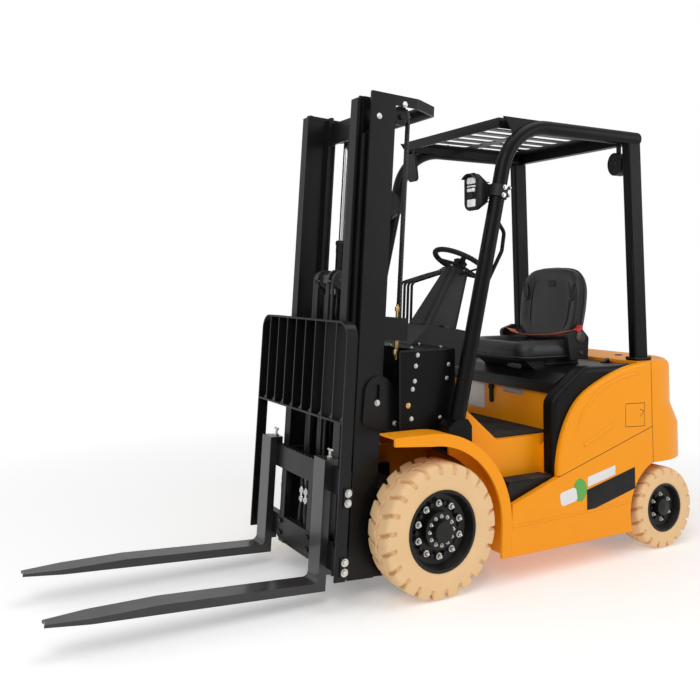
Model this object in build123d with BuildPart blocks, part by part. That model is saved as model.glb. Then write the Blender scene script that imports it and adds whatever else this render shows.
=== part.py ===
from build123d import *
import math
import os

# An electric counterbalance forklift with four wheels and a triplex mast.
# Millimetres. +Z is up, the forks point along -Y and +X is the truck's left.
# Lengths along the truck are given from the front axle, heights from the floor.

os.makedirs("parts", exist_ok=True)

# Overall sizes
front_overhang = 1559.0          # front axle to the fork tips, mast leaning
rear_overhang = 1660.0           # front axle to the rear of the counterweight
wheelbase = 1360.0
axle_y = (front_overhang - rear_overhang) / 2
running_gap = 6.0                # between pieces that move past each other
seat_gap = 0.3                   # between pieces that rest on each other
pin_gap = 0.05                   # radial play of a pin or shaft

# Wheels
front_tyre_radius = 282.0
front_tyre_width = 170.0
front_rim_radius = 170.0
front_wheel_x = 445.0
rear_tyre_radius = 198.0
rear_tyre_width = 150.0
rear_rim_radius = 118.0
rear_wheel_x = 449.0
tyre_shoulder = 22.0
front_lugs = 22
rear_lugs = 18
slot_width = 13.0
slot_depth = 15.0
slot_reach = 56.0
rim_wall = 12.0
rim_disc = 14.0
front_disc_depth = 58.0
rear_disc_depth = 46.0
front_hub_radius = 78.0
front_hub_length = 62.0
rear_hub_radius = 46.0
rear_hub_length = 60.0

# Axles and steering
axle_tube_radius = 60.0
axle_end_x = 400.0
half_shaft_radius = 32.0
kingpin_x = 345.0
kingpin_radius = 15.0
knuckle_radius = 30.0
knuckle_half_height = 40.0
stub_radius = 20.0
yoke_height = 22.0
beam_half_width = 42.0
beam_half_height = 42.0
steer_arm_tip = (330.0, -84.0)   # the arm's pin, from the middle of the rear axle
steer_arm_thick = 15.0
steer_link_thick = 12.0
steer_link_pin = 9.0
steer_rod_end = 235.0
steer_rod_y = -55.0
steer_rod_radius = 13.0
steer_barrel_radius = 28.0
steer_barrel_half = 108.0
wheel_sweep_radius = 276.0

# Body
body_half = 525.0
skin = 28.0
inner_wall_x = 400.0
wall = 12.0
pan_z = 118.0
sill_front = 364.0
sill_rear = 1112.0
floor_z = 605.0
floor_front = 190.0
toe_top_z = 776.0
toe_back = 389.0
fender_centre = (-50.0, 270.0)
fender_radius = 420.0
fender_sheet = 12.0
fender_rim = 52.0
fender_front = -237.0
fender_inner_x = inner_wall_x + seat_gap
step_z = 430.0
step_front = 378.0
step_rear = 645.0
box_front = 738.0
box_rear = 1065.0
box_half = 428.0
seam_y = 1276.0
seam_low = (648.0, 430.0)
seam_high = (1276.0, 608.0)
cover_outer_x = body_half - skin - seat_gap
cover_front = 645.0
cover_rear = 1190.0
deck_z = 930.0
front_panel_top = 789.7

# Counterweight
cw_half = 521.0
cw_front = 1206.0
cw_corner = 300.0
cw_upper_rear = 1604.0
cw_step_z = 600.0
cw_slope_z = 705.0
cw_skirt_z = 430.0
cw_nose_half = 62.0
cw_nose_z = 262.0

tow_pin_radius = 15.0

# Hood and seat
hood_nose = 724.0
hinge_x = 320.0
hinge_half = 12.0
hinge_y = 1195.0
hinge_z = 925.0
cover_half = 125.0
hood_low = 790.0
hood_front_top = 842.0
hood_back_top = 915.0
hood_rear = 1196.0
hood_sheet = 8.0
seat_half = 245.0
cushion_front = 690.0
cushion_rear = 1120.0
cushion_low = 926.0
cushion_top = 1030.0
back_low_y = 1045.0
back_top_z = 1400.0
back_thick = 95.0

# Cowl and controls
cowl_front = -30.0
cowl_side_front = -130.0
cowl_rear = 165.0
cowl_half = inner_wall_x - wall - seat_gap
cowl_low = 668.0
cowl_front_low = 724.0
cowl_top = 1030.0
cowl_sheet = 8.0
column_foot = (300.0, 1085.0)
column_top = (462.0, 1378.0)
wheel_rise = 52.4                # steering wheel above the column's top
steering_radius = 152.0
steering_grip = 13.0
lever_x = -150.0
lever_pitch = 34.0
lever_radius = 7.0

# Overhead guard
guard_x = 445.0
guard_tube = 35.0
guard_foot = (118.0, 662.0)
guard_knee = (451.0, 2066.0)
guard_bend = 280.0
guard_top_rear = 1292.0
leg_depth = 90.0
leg_width = 50.0
leg_top = (1258.0, 2040.0)
leg_foot = (1282.0, deck_z)
roof_front = 410.0
roof_sheet = 6.0
roof_half = guard_x - guard_tube + 6.0
roof_slots = 7
lamp_z = 1742.0
roof_slot_width = 62.0

# Mast, in its own upright frame, then leaned back about the front axle
mast_lean = 3.4
rail_x = 330.0
rail_front = -342.0
rail_depth = 125.0
rail_flange = 59.0
flange_thick = 16.0
web_thick = 12.0
nest_x = 26.0
nest_y = 22.0
outer_low = 60.0
outer_top = 2154.0
middle_low = 64.0
middle_top = 2140.0
inner_low = 68.0
inner_top = 2124.0
roller_radius = 45.5
roller_inset = 110.0
flange_cut = 178.0
chain_width = 20.0
chain_thick = 10.0
sheave_radius = 38.0
sheave_width = 24.0
tie_height = 45.0
tie_back = 48.0
tie_half_back = 255.0
lift_x = 165.0
lift_y = -185.0
lift_barrel = 30.0
lift_rod = 20.0
lift_barrel_top = 1500.0
mast_chain_x = 280.0
mast_sheave_y = -163.0
mast_sheave_z = 2068.0
anchor_z = 1112.0
anchor_y = mast_sheave_y + sheave_radius + chain_thick / 2
ear_z = 150.0
free_y = -322.0
free_barrel = 30.0
free_rod = 20.0
free_barrel_top = 1236.0
free_chain_x = 56.0
free_sheave_z = 1315.0
foot_lug_radius = 88.0
foot_lug_x = (297.0, 329.0)

# Tilt cylinders
tilt_x = 318.5
tilt_eye_half = 10.0
tilt_eye_radius = 24.0
tilt_pin_radius = 11.0
tilt_mast = (-160.0, 706.0)
tilt_frame = (392.0, 470.0)
tilt_barrel_radius = 29.0
tilt_rod_radius = 15.0
tilt_barrel_length = 330.0
tilt_bracket_thick = 12.0

# Carriage, forks and load backrest
shank_front = -477.0
fork_thick = 35.0
fork_width = 100.0
fork_x = 280.0
fork_low = 31.0
fork_length = 1070.0
fork_taper = 430.0
fork_tip = 10.0
shank_top = 562.0
carriage_bar = 35.0
carriage_half = 434.7
carriage_top = 531.0
carriage_low = 124.0
top_bar_height = 100.0
low_bar_height = 96.0
side_plate_x = 196.0
side_plate_thick = 20.0
rest_half = 443.0
rest_top = 1138.0
rest_cross_z = 725.0
rest_low = 101.0
rest_bar = 8.0
rest_depth = 50.0
rest_bars = 8
rest_corner = 70.0


# Planes of the leaning mast: heights are from the floor and lengths from the
# front axle, as if the mast stood upright.
lean = Plane(origin=(0, axle_y, front_tyre_radius), x_dir=(1, 0, 0), z_dir=(0, 0, 1)).rotated((-mast_lean, 0, 0))


def mast_point(x, y, z):
    return lean.from_local_coords(Vector(x, y, z - front_tyre_radius))


def mast_level(z):
    return Plane(origin=mast_point(0, 0, z), x_dir=lean.x_dir, z_dir=lean.z_dir)


def mast_side(x):
    # sketch x runs to the rear, sketch y runs up, measured from the floor
    return Plane(origin=mast_point(x, 0, 0), x_dir=lean.y_dir, z_dir=lean.x_dir)


def mast_face(y):
    # sketch x runs to the left, sketch y runs up, the normal points forward
    return Plane(origin=mast_point(0, y, 0), x_dir=lean.x_dir, z_dir=-lean.y_dir)


def side(x):
    # sketch x is the length from the front axle, sketch y is the height
    return Plane(origin=(x, axle_y, 0), x_dir=(0, 1, 0), z_dir=(1, 0, 0))


def level(z):
    # sketch x is the truck's X, sketch y the length from the front axle
    return Plane(origin=(0, axle_y, z), x_dir=(1, 0, 0), z_dir=(0, 0, 1))


def face(y):
    # sketch x is the truck's X, sketch y is the height, the normal points forward
    return Plane(origin=(0, axle_y + y, 0), x_dir=(1, 0, 0), z_dir=(0, -1, 0))


def finish(part, label):
    part.part.label = label
    export_step(part.part, "parts/" + label + ".step")


# Wheels: tyres, rims and hubs
wheel_sides = {"left": 1, "right": -1}


def wheel_plane(x, y, z, way):
    # sketch x runs along the axle outward, sketch y is the radius
    return Plane(origin=(way * x, axle_y + y, z), x_dir=(way, 0, 0), z_dir=(0, way, 0))


def tread_slots(wheel, half, radius, lugs):
    # slots from each shoulder towards the middle, half a step apart on the two sides
    for turn, way in ((0, 1), (180 / lugs, -1)):
        edge = Plane(origin=wheel.origin + wheel.x_dir * (way * (half + 4)), x_dir=(0, 1, 0), z_dir=-wheel.x_dir * way)
        with BuildSketch(edge) as slots:
            with PolarLocations(radius - slot_depth / 2 + 2, lugs, start_angle=turn):
                Rectangle(slot_depth + 4, slot_width)
        extrude(slots.sketch, amount=slot_reach, mode=Mode.SUBTRACT)


for name, way in wheel_sides.items():
    wheel = wheel_plane(front_wheel_x, 0, front_tyre_radius, way)
    axis = Axis(wheel.origin, wheel.x_dir)
    half = front_tyre_width / 2
    with BuildPart() as front_tyre:
        with BuildSketch(wheel):
            with BuildLine():
                Polyline((-half, front_rim_radius), (half, front_rim_radius),
                         (half, front_tyre_radius - tyre_shoulder), (half - tyre_shoulder, front_tyre_radius),
                         (-half + tyre_shoulder, front_tyre_radius), (-half, front_tyre_radius - tyre_shoulder),
                         (-half, front_rim_radius))
            make_face()
        revolve(axis=axis)
        tread_slots(wheel, half, front_tyre_radius, front_lugs)
    finish(front_tyre, "front_tyre_" + name)

    disc = half - front_disc_depth
    with BuildPart() as front_rim:
        with BuildSketch(wheel):
            with BuildLine():
                Polyline((-half, front_rim_radius - seat_gap), (half - 6, front_rim_radius - seat_gap),
                         (half - 6, front_rim_radius - rim_wall), (disc + 6, front_rim_radius - 26),
                         (disc, front_rim_radius - 60), (disc, 0), (disc - rim_disc, 0),
                         (disc - rim_disc, front_rim_radius - 30), (-half, front_rim_radius - rim_wall),
                         (-half, front_rim_radius - seat_gap))
            make_face()
        revolve(axis=axis)
        with BuildSketch(Plane(origin=wheel.origin + wheel.x_dir * disc, x_dir=(0, 1, 0), z_dir=wheel.x_dir)):
            Circle(front_hub_radius)
        extrude(amount=front_hub_length - 24)
        with BuildSketch(Plane(origin=wheel.origin + wheel.x_dir * disc, x_dir=(0, 1, 0), z_dir=wheel.x_dir)):
            Circle(front_hub_radius - 34)
        extrude(amount=front_hub_length)
        with BuildSketch(Plane(origin=wheel.origin + wheel.x_dir * disc, x_dir=(0, 1, 0), z_dir=wheel.x_dir)):
            with PolarLocations(front_hub_radius + 32, 10):
                Circle(9)
        extrude(amount=18)
        with BuildSketch(Plane(origin=wheel.origin + wheel.x_dir * (disc - rim_disc), x_dir=(0, 1, 0), z_dir=wheel.x_dir)):
            Circle(half_shaft_radius + pin_gap)
        extrude(amount=40, mode=Mode.SUBTRACT)
    finish(front_rim, "front_rim_" + name)

    rear = wheel_plane(rear_wheel_x, wheelbase, rear_tyre_radius, way)
    axis = Axis(rear.origin, rear.x_dir)
    half = rear_tyre_width / 2
    with BuildPart() as rear_tyre:
        with BuildSketch(rear):
            with BuildLine():
                Polyline((-half, rear_rim_radius), (half, rear_rim_radius),
                         (half, rear_tyre_radius - tyre_shoulder), (half - tyre_shoulder, rear_tyre_radius),
                         (-half + tyre_shoulder, rear_tyre_radius), (-half, rear_tyre_radius - tyre_shoulder),
                         (-half, rear_rim_radius))
            make_face()
        revolve(axis=axis)
        tread_slots(rear, half, rear_tyre_radius, rear_lugs)
    finish(rear_tyre, "rear_tyre_" + name)

    disc = half - rear_disc_depth
    bore = stub_radius + pin_gap
    with BuildPart() as rear_rim:
        with BuildSketch(rear):
            with BuildLine():
                Polyline((-half, rear_rim_radius - seat_gap), (half - 6, rear_rim_radius - seat_gap),
                         (half - 6, rear_rim_radius - 10), (disc + 4, rear_rim_radius - 22),
                         (disc, rear_rim_radius - 40), (disc, rear_hub_radius), (disc + rear_hub_length - 24, rear_hub_radius - 6),
                         (disc + rear_hub_length - 18, 0), (disc + rear_hub_length - 30, 0), (disc + rear_hub_length - 30, bore),
                         (disc - rim_disc - 14, bore), (disc - rim_disc - 14, rear_hub_radius), (disc - rim_disc, rear_hub_radius),
                         (disc - rim_disc, rear_rim_radius - 26), (-half, rear_rim_radius - 10),
                         (-half, rear_rim_radius - seat_gap))
            make_face()
        revolve(axis=axis)
        with BuildSketch(Plane(origin=rear.origin + rear.x_dir * disc, x_dir=(0, 1, 0), z_dir=rear.x_dir)):
            with PolarLocations(rear_hub_radius + 16, 6):
                Circle(7)
        extrude(amount=14)
    finish(rear_rim, "rear_rim_" + name)

# Front axle, driven by one motor through a gear housing
hub_face = front_wheel_x + front_tyre_width / 2 - front_disc_depth - rim_disc
with BuildPart() as drive_axle:
    with BuildSketch(side(-axle_end_x)):
        with Locations((0, front_tyre_radius)):
            Circle(axle_tube_radius)
    extrude(amount=2 * axle_end_x)
    for way in (1, -1):
        with BuildSketch(side(way * axle_end_x)):
            with Locations((0, front_tyre_radius)):
                Circle(front_hub_radius + 20)
        extrude(amount=way * (hub_face - axle_end_x - 1))
        with BuildSketch(side(way * axle_end_x)):
            with Locations((0, front_tyre_radius)):
                Circle(half_shaft_radius)
        extrude(amount=way * (hub_face - axle_end_x + 36))
    # the gear housing between the mast feet
    with BuildSketch(side(-120)):
        with Locations((20, front_tyre_radius)):
            Circle(118)
    extrude(amount=240)
    with BuildSketch(face(100)):
        with Locations((0, front_tyre_radius + 10)):
            Circle(90)
    extrude(amount=-60)
    # brackets that carry the frame
    for way in (1, -1):
        with BuildSketch(side(way * 225)):
            with BuildLine():
                Polyline((-50, front_tyre_radius), (0, front_tyre_radius - 62), (200, front_tyre_radius - 62), (200, front_tyre_radius + 120),
                         (120, front_tyre_radius + 120), (-50, front_tyre_radius + 62), (-50, front_tyre_radius))
            make_face()
        extrude(amount=way * 26)
finish(drive_axle, "drive_axle")

with BuildPart() as drive_motor:
    with BuildSketch(face(160 + seat_gap)):
        with Locations((0, front_tyre_radius + 10)):
            Circle(112)
    extrude(amount=-190)
finish(drive_motor, "drive_motor")

# Rear axle: a beam with yokes, and knuckles that turn on kingpins
beam_z = rear_tyre_radius
arm_top = beam_z - knuckle_half_height - seat_gap - yoke_height - seat_gap
arm_low = arm_top - steer_arm_thick
link_low = arm_low - seat_gap - steer_link_thick
tongue_low = link_low - seat_gap - 12
steer_z = tongue_low + 14
with BuildPart() as steer_axle:
    with BuildSketch(face(wheelbase - beam_half_width)):
        with Locations((0, beam_z)):
            RectangleRounded(2 * (kingpin_x - 62), 2 * beam_half_height, 12)
        with Locations((0, beam_z + 36)):
            Circle(60)
    extrude(amount=-2 * beam_half_width)
    for way in (1, -1):
        for centre in (beam_z + knuckle_half_height + seat_gap + yoke_height / 2,
                       beam_z - knuckle_half_height - seat_gap - yoke_height / 2):
            with BuildSketch(level(centre - yoke_height / 2)):
                with Locations((way * kingpin_x, wheelbase)):
                    Circle(knuckle_radius)
                with Locations((way * (kingpin_x - 44), wheelbase)):
                    Rectangle(88, 2 * knuckle_radius)
                with Locations((way * kingpin_x, wheelbase)):
                    Circle(kingpin_radius + pin_gap, mode=Mode.SUBTRACT)
            extrude(amount=yoke_height)
        with BuildSketch(level(beam_z - knuckle_half_height - yoke_height)):
            with Locations((way * (kingpin_x - 72), wheelbase)):
                Rectangle(34, 2 * knuckle_radius)
        extrude(amount=2 * (knuckle_half_height + yoke_height))
    # the middle bearing, and the steering cylinder's saddles under the beam
    with BuildSketch(face(wheelbase - beam_half_width - 1)):
        with Locations((0, beam_z + 36)):
            Circle(24 + pin_gap)
    extrude(amount=-2 * beam_half_width - 2, mode=Mode.SUBTRACT)
    for x in (-70, 70):
        with BuildSketch(side(x - 15)):
            with Locations((wheelbase + steer_rod_y + 8, beam_z - 66)):
                Rectangle(60, 72)
            with Locations((wheelbase + steer_rod_y, steer_z)):
                Circle(steer_barrel_radius + seat_gap, mode=Mode.SUBTRACT)
        extrude(amount=30)
finish(steer_axle, "steer_axle")

disc = rear_wheel_x + rear_tyre_width / 2 - rear_disc_depth
for name, way in wheel_sides.items():
    with BuildPart() as knuckle:
        with BuildSketch(level(beam_z - knuckle_half_height)):
            with Locations((way * kingpin_x, wheelbase)):
                Circle(knuckle_radius)
        extrude(amount=2 * knuckle_half_height)
        with BuildSketch(level(arm_low)):
            with Locations((way * kingpin_x, wheelbase)):
                Circle(kingpin_radius)
        extrude(amount=2 * beam_z - 2 * arm_low - 12)
        with BuildSketch(side(way * kingpin_x)):
            with Locations((wheelbase, beam_z)):
                Circle(stub_radius)
        extrude(amount=way * (disc + rear_hub_length - 34 - kingpin_x))
        with BuildSketch(side(way * kingpin_x)):
            with Locations((wheelbase, beam_z)):
                Circle(stub_radius + 12)
        extrude(amount=way * (disc - rim_disc - 16 - kingpin_x))
        with BuildSketch(level(arm_low)):
            with Locations((way * kingpin_x, wheelbase)):
                Circle(26)
            with Locations((way * steer_arm_tip[0], wheelbase + steer_arm_tip[1])):
                Circle(20)
            make_hull()
        extrude(amount=steer_arm_thick)
        with BuildSketch(level(link_low - 2)):
            with Locations((way * steer_arm_tip[0], wheelbase + steer_arm_tip[1])):
                Circle(steer_link_pin)
        extrude(amount=steer_link_thick + steer_arm_thick)
    finish(knuckle, "knuckle_" + name)

    with BuildPart() as steer_link:
        with BuildSketch(level(link_low)):
            with Locations((way * steer_arm_tip[0], wheelbase + steer_arm_tip[1])):
                Circle(19)
            with Locations((way * steer_rod_end, wheelbase + steer_rod_y)):
                Circle(19)
            make_hull()
            with Locations((way * steer_arm_tip[0], wheelbase + steer_arm_tip[1])):
                Circle(steer_link_pin + pin_gap, mode=Mode.SUBTRACT)
            with Locations((way * steer_rod_end, wheelbase + steer_rod_y)):
                Circle(steer_link_pin + 1, mode=Mode.SUBTRACT)
        extrude(amount=steer_link_thick)
    finish(steer_link, "steer_link_" + name)

with BuildPart() as steer_cylinder:
    with BuildSketch(side(-steer_barrel_half)):
        with Locations((wheelbase + steer_rod_y, steer_z)):
            Circle(steer_barrel_radius)
            Circle(steer_rod_radius + pin_gap, mode=Mode.SUBTRACT)
    extrude(amount=2 * steer_barrel_half)
finish(steer_cylinder, "steer_cylinder")

with BuildPart() as steer_rod:
    with BuildSketch(side(-steer_rod_end + 36)):
        with Locations((wheelbase + steer_rod_y, steer_z)):
            Circle(steer_rod_radius)
    extrude(amount=2 * (steer_rod_end - 36))
    for way in (1, -1):
        with BuildSketch(level(tongue_low)):
            with Locations((way * steer_rod_end, wheelbase + steer_rod_y)):
                Circle(17)
            with Locations((way * (steer_rod_end - 24), wheelbase + steer_rod_y)):
                Rectangle(48, 24)
        extrude(amount=12)
finish(steer_rod, "steer_rod")

# Frame: a pan, outer side panels with wheel arches, inner walls and cross walls
arch_y = wheelbase
arch_radius = wheelbase - sill_rear + 1.0
with BuildPart() as chassis_frame:
    # outer side panels
    for way in (1, -1):
        with BuildSketch(side(way * (body_half - skin))):
            with BuildLine():
                Polyline((sill_front, pan_z), (sill_rear + 60, pan_z), (seam_high[0], pan_z), seam_high, seam_low,
                         (sill_front + 12, 342), (sill_front + 6, fender_centre[1]), (sill_front, pan_z))
            make_face()
            with Locations((arch_y, rear_tyre_radius)):
                Circle(arch_radius, mode=Mode.SUBTRACT)
        extrude(amount=way * skin)
    # the pan under the truck
    with BuildSketch(level(pan_z)):
        with Locations((0, (sill_front + 1 + box_rear + wall) / 2)):
            Rectangle(2 * (body_half - 4), box_rear + wall - sill_front - 1)
    extrude(amount=wall)
    # inner walls under the floor, with the sloping toe board ahead of it
    for way in (1, -1):
        with BuildSketch(side(way * inner_wall_x)):
            with BuildLine():
                Polyline((floor_front, toe_top_z), (toe_back, floor_z - wall), (box_front + wall, floor_z - wall),
                         (box_front + wall, pan_z), (sill_front, pan_z), (floor_front - 70, 420), (floor_front - 70, toe_top_z - 60),
                         (floor_front, toe_top_z))
            make_face()
            with Locations((0, front_tyre_radius)):
                Circle(front_tyre_radius + 24, mode=Mode.SUBTRACT)
        extrude(amount=-way * wall)
    # floor and toe board
    with BuildSketch(side(-inner_wall_x)):
        with BuildLine():
            Polyline((floor_front, toe_top_z), (toe_back, floor_z), (box_front + wall, floor_z),
                     (box_front + wall, floor_z - wall), (toe_back - 4, floor_z - wall), (floor_front - 8, toe_top_z - 8), (floor_front, toe_top_z))
        make_face()
    extrude(amount=2 * inner_wall_x)
    # battery box walls
    with BuildSketch(face(box_front + wall)):
        with Locations((0, (pan_z + floor_z) / 2)):
            Rectangle(2 * inner_wall_x, floor_z - pan_z)
    extrude(amount=wall)
    with BuildSketch(face(box_rear + wall)):
        with Locations((0, (pan_z + 660) / 2)):
            Rectangle(2 * box_half, 660 - pan_z)
    extrude(amount=wall)
    for way in (1, -1):
        with BuildSketch(side(way * box_half)):
            with BuildLine():
                Polyline((step_rear, pan_z), (step_rear, 560), (box_front, 680), (box_rear + wall, 680), (box_rear + wall, pan_z), (step_rear, pan_z))
            make_face()
        extrude(amount=-way * wall)
        with BuildSketch(face(step_rear + wall)):
            with Locations((way * (inner_wall_x + box_half) / 2, (pan_z + 560) / 2)):
                Rectangle(box_half - inner_wall_x + 2, 560 - pan_z)
        extrude(amount=wall)
    # the tail that carries the rear axle and the counterweight
    with BuildSketch(side(-cw_nose_half)):
        with BuildLine():
            Polyline((box_rear, 300), (wheelbase - 70, 300), (wheelbase - 70, beam_z + 36), (wheelbase - beam_half_width - 4, beam_z + 36),
                     (wheelbase - beam_half_width - 4, 330), (wheelbase + beam_half_width + 4, 330), (wheelbase + beam_half_width + 4, beam_z + 36),
                     (wheelbase + 70, beam_z + 36), (wheelbase + 70, cw_skirt_z - seat_gap), (box_rear, cw_skirt_z - seat_gap), (box_rear, 300))
        make_face()
    extrude(amount=2 * cw_nose_half)
    with BuildSketch(face(wheelbase - 72)):
        with Locations((0, beam_z + 36)):
            Circle(24)
    extrude(amount=-144)
    with BuildSketch(level(cw_skirt_z + 20)):
        with Locations((0, (box_rear + cw_front) / 2)):
            Rectangle(2 * box_half, cw_front - box_rear)
    extrude(amount=wall)
    # the frame's feet on the drive axle's brackets
    for way in (1, -1):
        with BuildSketch(side(way * 251.3)):
            with BuildLine():
                Polyline((70, front_tyre_radius + 20), (70, 470), (tilt_frame[0] + 40, 540), (tilt_frame[0] + 80, pan_z), (sill_front, pan_z),
                         (200, front_tyre_radius - 62), (130, front_tyre_radius - 40), (70, front_tyre_radius + 20))
            make_face()
        extrude(amount=way * 20)
    # ears for the tilt cylinders' rear pins
    for way in (1, -1):
        for x in (tilt_x - tilt_eye_half - 3, tilt_x + tilt_eye_half + 3 + 12):
            with BuildSketch(side(way * x)):
                with Locations(tilt_frame):
                    Circle(30)
                with Locations((tilt_frame[0] + 60, tilt_frame[1] - 260)):
                    Rectangle(120, 120)
                make_hull()
                with Locations(tilt_frame):
                    Circle(tilt_pin_radius, mode=Mode.SUBTRACT)
            extrude(amount=-way * 12)
        with BuildSketch(side(way * (tilt_x - tilt_eye_half - 15))):
            with Locations(tilt_frame):
                Circle(tilt_pin_radius)
        extrude(amount=way * (2 * tilt_eye_half + 30))
finish(chassis_frame, "chassis_frame")

# Front fenders: a curved sheet over each front wheel with a deep outer rim
with BuildPart() as fenders:
    flat_z = fender_centre[1] + fender_radius
    for way in (1, -1):
        for start, depth, amount in ((fender_inner_x, fender_sheet, body_half - fender_inner_x), (body_half - 14, fender_rim, 14)):
            with BuildSketch(side(way * start)):
                with BuildLine():
                    front = Line((fender_front, flat_z - depth * 0.7), (fender_front, flat_z))
                    top = Line(front @ 1, (fender_centre[0], flat_z))
                    bow = RadiusArc(top @ 1, (fender_centre[0] + fender_radius, fender_centre[1]), fender_radius)
                    foot = Line(bow @ 1, (sill_front, pan_z))
                    low = Line(foot @ 1, (sill_front - depth, pan_z))
                    up = Line(low @ 1, (fender_centre[0] + fender_radius - depth, fender_centre[1]))
                    under = RadiusArc(up @ 1, (fender_centre[0], flat_z - depth), -(fender_radius - depth))
                    Line(under @ 1, front @ 0)
                make_face()
            extrude(amount=way * amount)
finish(fenders, "fenders")

# Steps beside the floor
with BuildPart() as steps:
    for way in (1, -1):
        with BuildSketch(side(way * (body_half - skin - 6))):
            with BuildLine():
                Polyline((step_front, step_z), (step_rear - 1, step_z), (step_rear - 1, step_z - 26), (sill_front + 40, 300), (sill_front + 24, 300), (step_front, step_z))
            make_face()
        extrude(amount=-way * 5)
        with BuildSketch(level(step_z)):
            with Locations((way * (inner_wall_x + seat_gap + body_half - skin - 1) / 2, (step_front + step_rear) / 2)):
                Rectangle(body_half - skin - 1 - inner_wall_x - seat_gap, step_rear - step_front - 2)
        extrude(amount=-5)
finish(steps, "steps")

with BuildPart() as floor_mat:
    with BuildSketch(level(floor_z + seat_gap)):
        with Locations((0, (toe_back + 16 + box_front) / 2)):
            RectangleRounded(2 * inner_wall_x - 60, box_front - toe_back - 20, 30)
    extrude(amount=6)
finish(floor_mat, "floor_mat")

with BuildPart() as front_panel:
    with BuildSketch(face(box_front + wall)):
        with Locations((0, (floor_z + seat_gap + front_panel_top) / 2)):
            Rectangle(2 * (box_half - wall - seat_gap), front_panel_top - floor_z - seat_gap)
    extrude(amount=wall)
finish(front_panel, "front_panel")

with BuildPart() as battery:
    with BuildSketch(level(pan_z + wall + seat_gap)):
        with Locations((0, (box_front + box_rear) / 2 + 6)):
            RectangleRounded(2 * box_half - 80, box_rear - box_front - 26, 12)
    extrude(amount=560)
finish(battery, "battery")

# Black side covers between the hood and the orange panels
with BuildPart() as side_covers:
    for way in (1, -1):
        with BuildSketch(side(way * (box_half + 2))):
            with BuildLine():
                front = Line((cover_front, 440), (cover_front, 740))
                bow = Spline((cover_front, 740), (cover_front + 42, 806), (cover_front + 156, 884), (cover_rear, deck_z - 12),
                             tangents=((0, 1), (1, 0.03)))
                back = Line(bow @ 1, (cover_rear, 560))
                Polyline(back @ 1, (cover_front + 60, 440), (cover_front, 440))
            make_face()
        extrude(amount=way * (cover_outer_x - box_half - 2))
        fillet(side_covers.edges().filter_by(lambda e: abs(abs(e.center().X) - cover_outer_x) < 1 and e.center().Z > 600 and e.center().Y > axle_y + cover_front + 2 and e.center().Y < axle_y + cover_rear - 2), radius=26)
finish(side_covers, "side_covers")

# Rear quarter panels, outside the covers
with BuildPart() as quarter_panels:
    for way in (1, -1):
        with BuildSketch(side(way * (cover_outer_x + seat_gap))):
            with BuildLine():
                bow = Spline((seam_low[0], seam_low[1] + 2), (675, 597), (721, 693), (786, 772), (918, 848), (1054, 897), (seam_y - 2, deck_z))
                back = Line(bow @ 1, (seam_y - 2, seam_high[1] + 2))
                Line(back @ 1, bow @ 0)
            make_face()
        extrude(amount=way * (body_half - cover_outer_x - seat_gap))
    bow_edges = quarter_panels.edges().filter_by(lambda e: abs(abs(e.center().X) - body_half) < 0.5 and e.length > 700 and e.geom_type != GeomType.LINE)
    fillet(bow_edges, radius=16)
finish(quarter_panels, "quarter_panels")

# Counterweight: a rounded casting, stepped out low at the rear and open over the steered wheels
def counter_plan(z, rear):
    # half-round plan: straight sides, corners of one radius and a flat rear
    with BuildSketch(level(z)) as plan:
        with BuildLine():
            around = FilletPolyline((-cw_half, seam_y), (-cw_half, rear), (cw_half, rear), (cw_half, seam_y), radius=cw_corner)
            Line(around @ 1, around @ 0)
        make_face()
    return plan.sketch


with BuildPart() as counterweight:
    add(counter_plan(cw_skirt_z, rear_overhang))
    extrude(amount=cw_step_z - cw_skirt_z)
    add(counter_plan(cw_step_z, rear_overhang))
    add(counter_plan(cw_slope_z, cw_upper_rear))
    loft()
    add(counter_plan(cw_slope_z, cw_upper_rear))
    extrude(amount=deck_z - cw_slope_z)
    fillet(counterweight.edges().group_by(Axis.Z)[-1].filter_by(lambda e: e.center().Y > axle_y + seam_y + 60), radius=38)
    # the shelf ahead of the seam, behind the hood
    with BuildSketch(level(690)):
        with Locations((0, (cw_front + seam_y) / 2 + 2)):
            Rectangle(2 * (cover_outer_x - 1), seam_y - cw_front + 4)
    extrude(amount=deck_z - 690)
    # the nose between the steered wheels
    with BuildSketch(level(cw_nose_z)):
        add(counter_plan(cw_nose_z, rear_overhang - 12))
        with Locations((0, (seam_y + wheelbase + 72) / 2 - 50)):
            Rectangle(4 * cw_half, wheelbase + 72 - seam_y + 100, mode=Mode.SUBTRACT)
        for way in (1, -1):
            with Locations((way * kingpin_x, wheelbase)):
                Circle(wheel_sweep_radius, mode=Mode.SUBTRACT)
    extrude(amount=cw_skirt_z - cw_nose_z + 1)
    # slot for the tow pin
    with BuildSketch(level(cw_skirt_z + 45)):
        with Locations((0, rear_overhang)):
            RectangleRounded(110, 130, 20)
    extrude(amount=62, mode=Mode.SUBTRACT)
    with Locations(level(cw_step_z).location):
        with Locations((0, rear_overhang - 34, 0)):
            Hole(radius=tow_pin_radius + 1, depth=cw_step_z - cw_skirt_z - 20)
        with Locations((0, rear_overhang - 34, 120)):
            Hole(radius=tow_pin_radius + 14, depth=120)
    # ears for the hood's hinges
    for way in (1, -1):
        for x in (hinge_x - hinge_half - 1, hinge_x + hinge_half + 11):
            with BuildSketch(side(way * x)):
                with Locations((hinge_y, hinge_z)):
                    Circle(9)
                with Locations((cw_front + 4, hinge_z - 2)):
                    Rectangle(8, 14)
                make_hull()
            extrude(amount=-way * 10)
        with BuildSketch(side(way * (hinge_x - hinge_half - 6))):
            with Locations((hinge_y, hinge_z)):
                Circle(5)
        extrude(amount=way * (2 * hinge_half + 12))
finish(counterweight, "counterweight")

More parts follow.
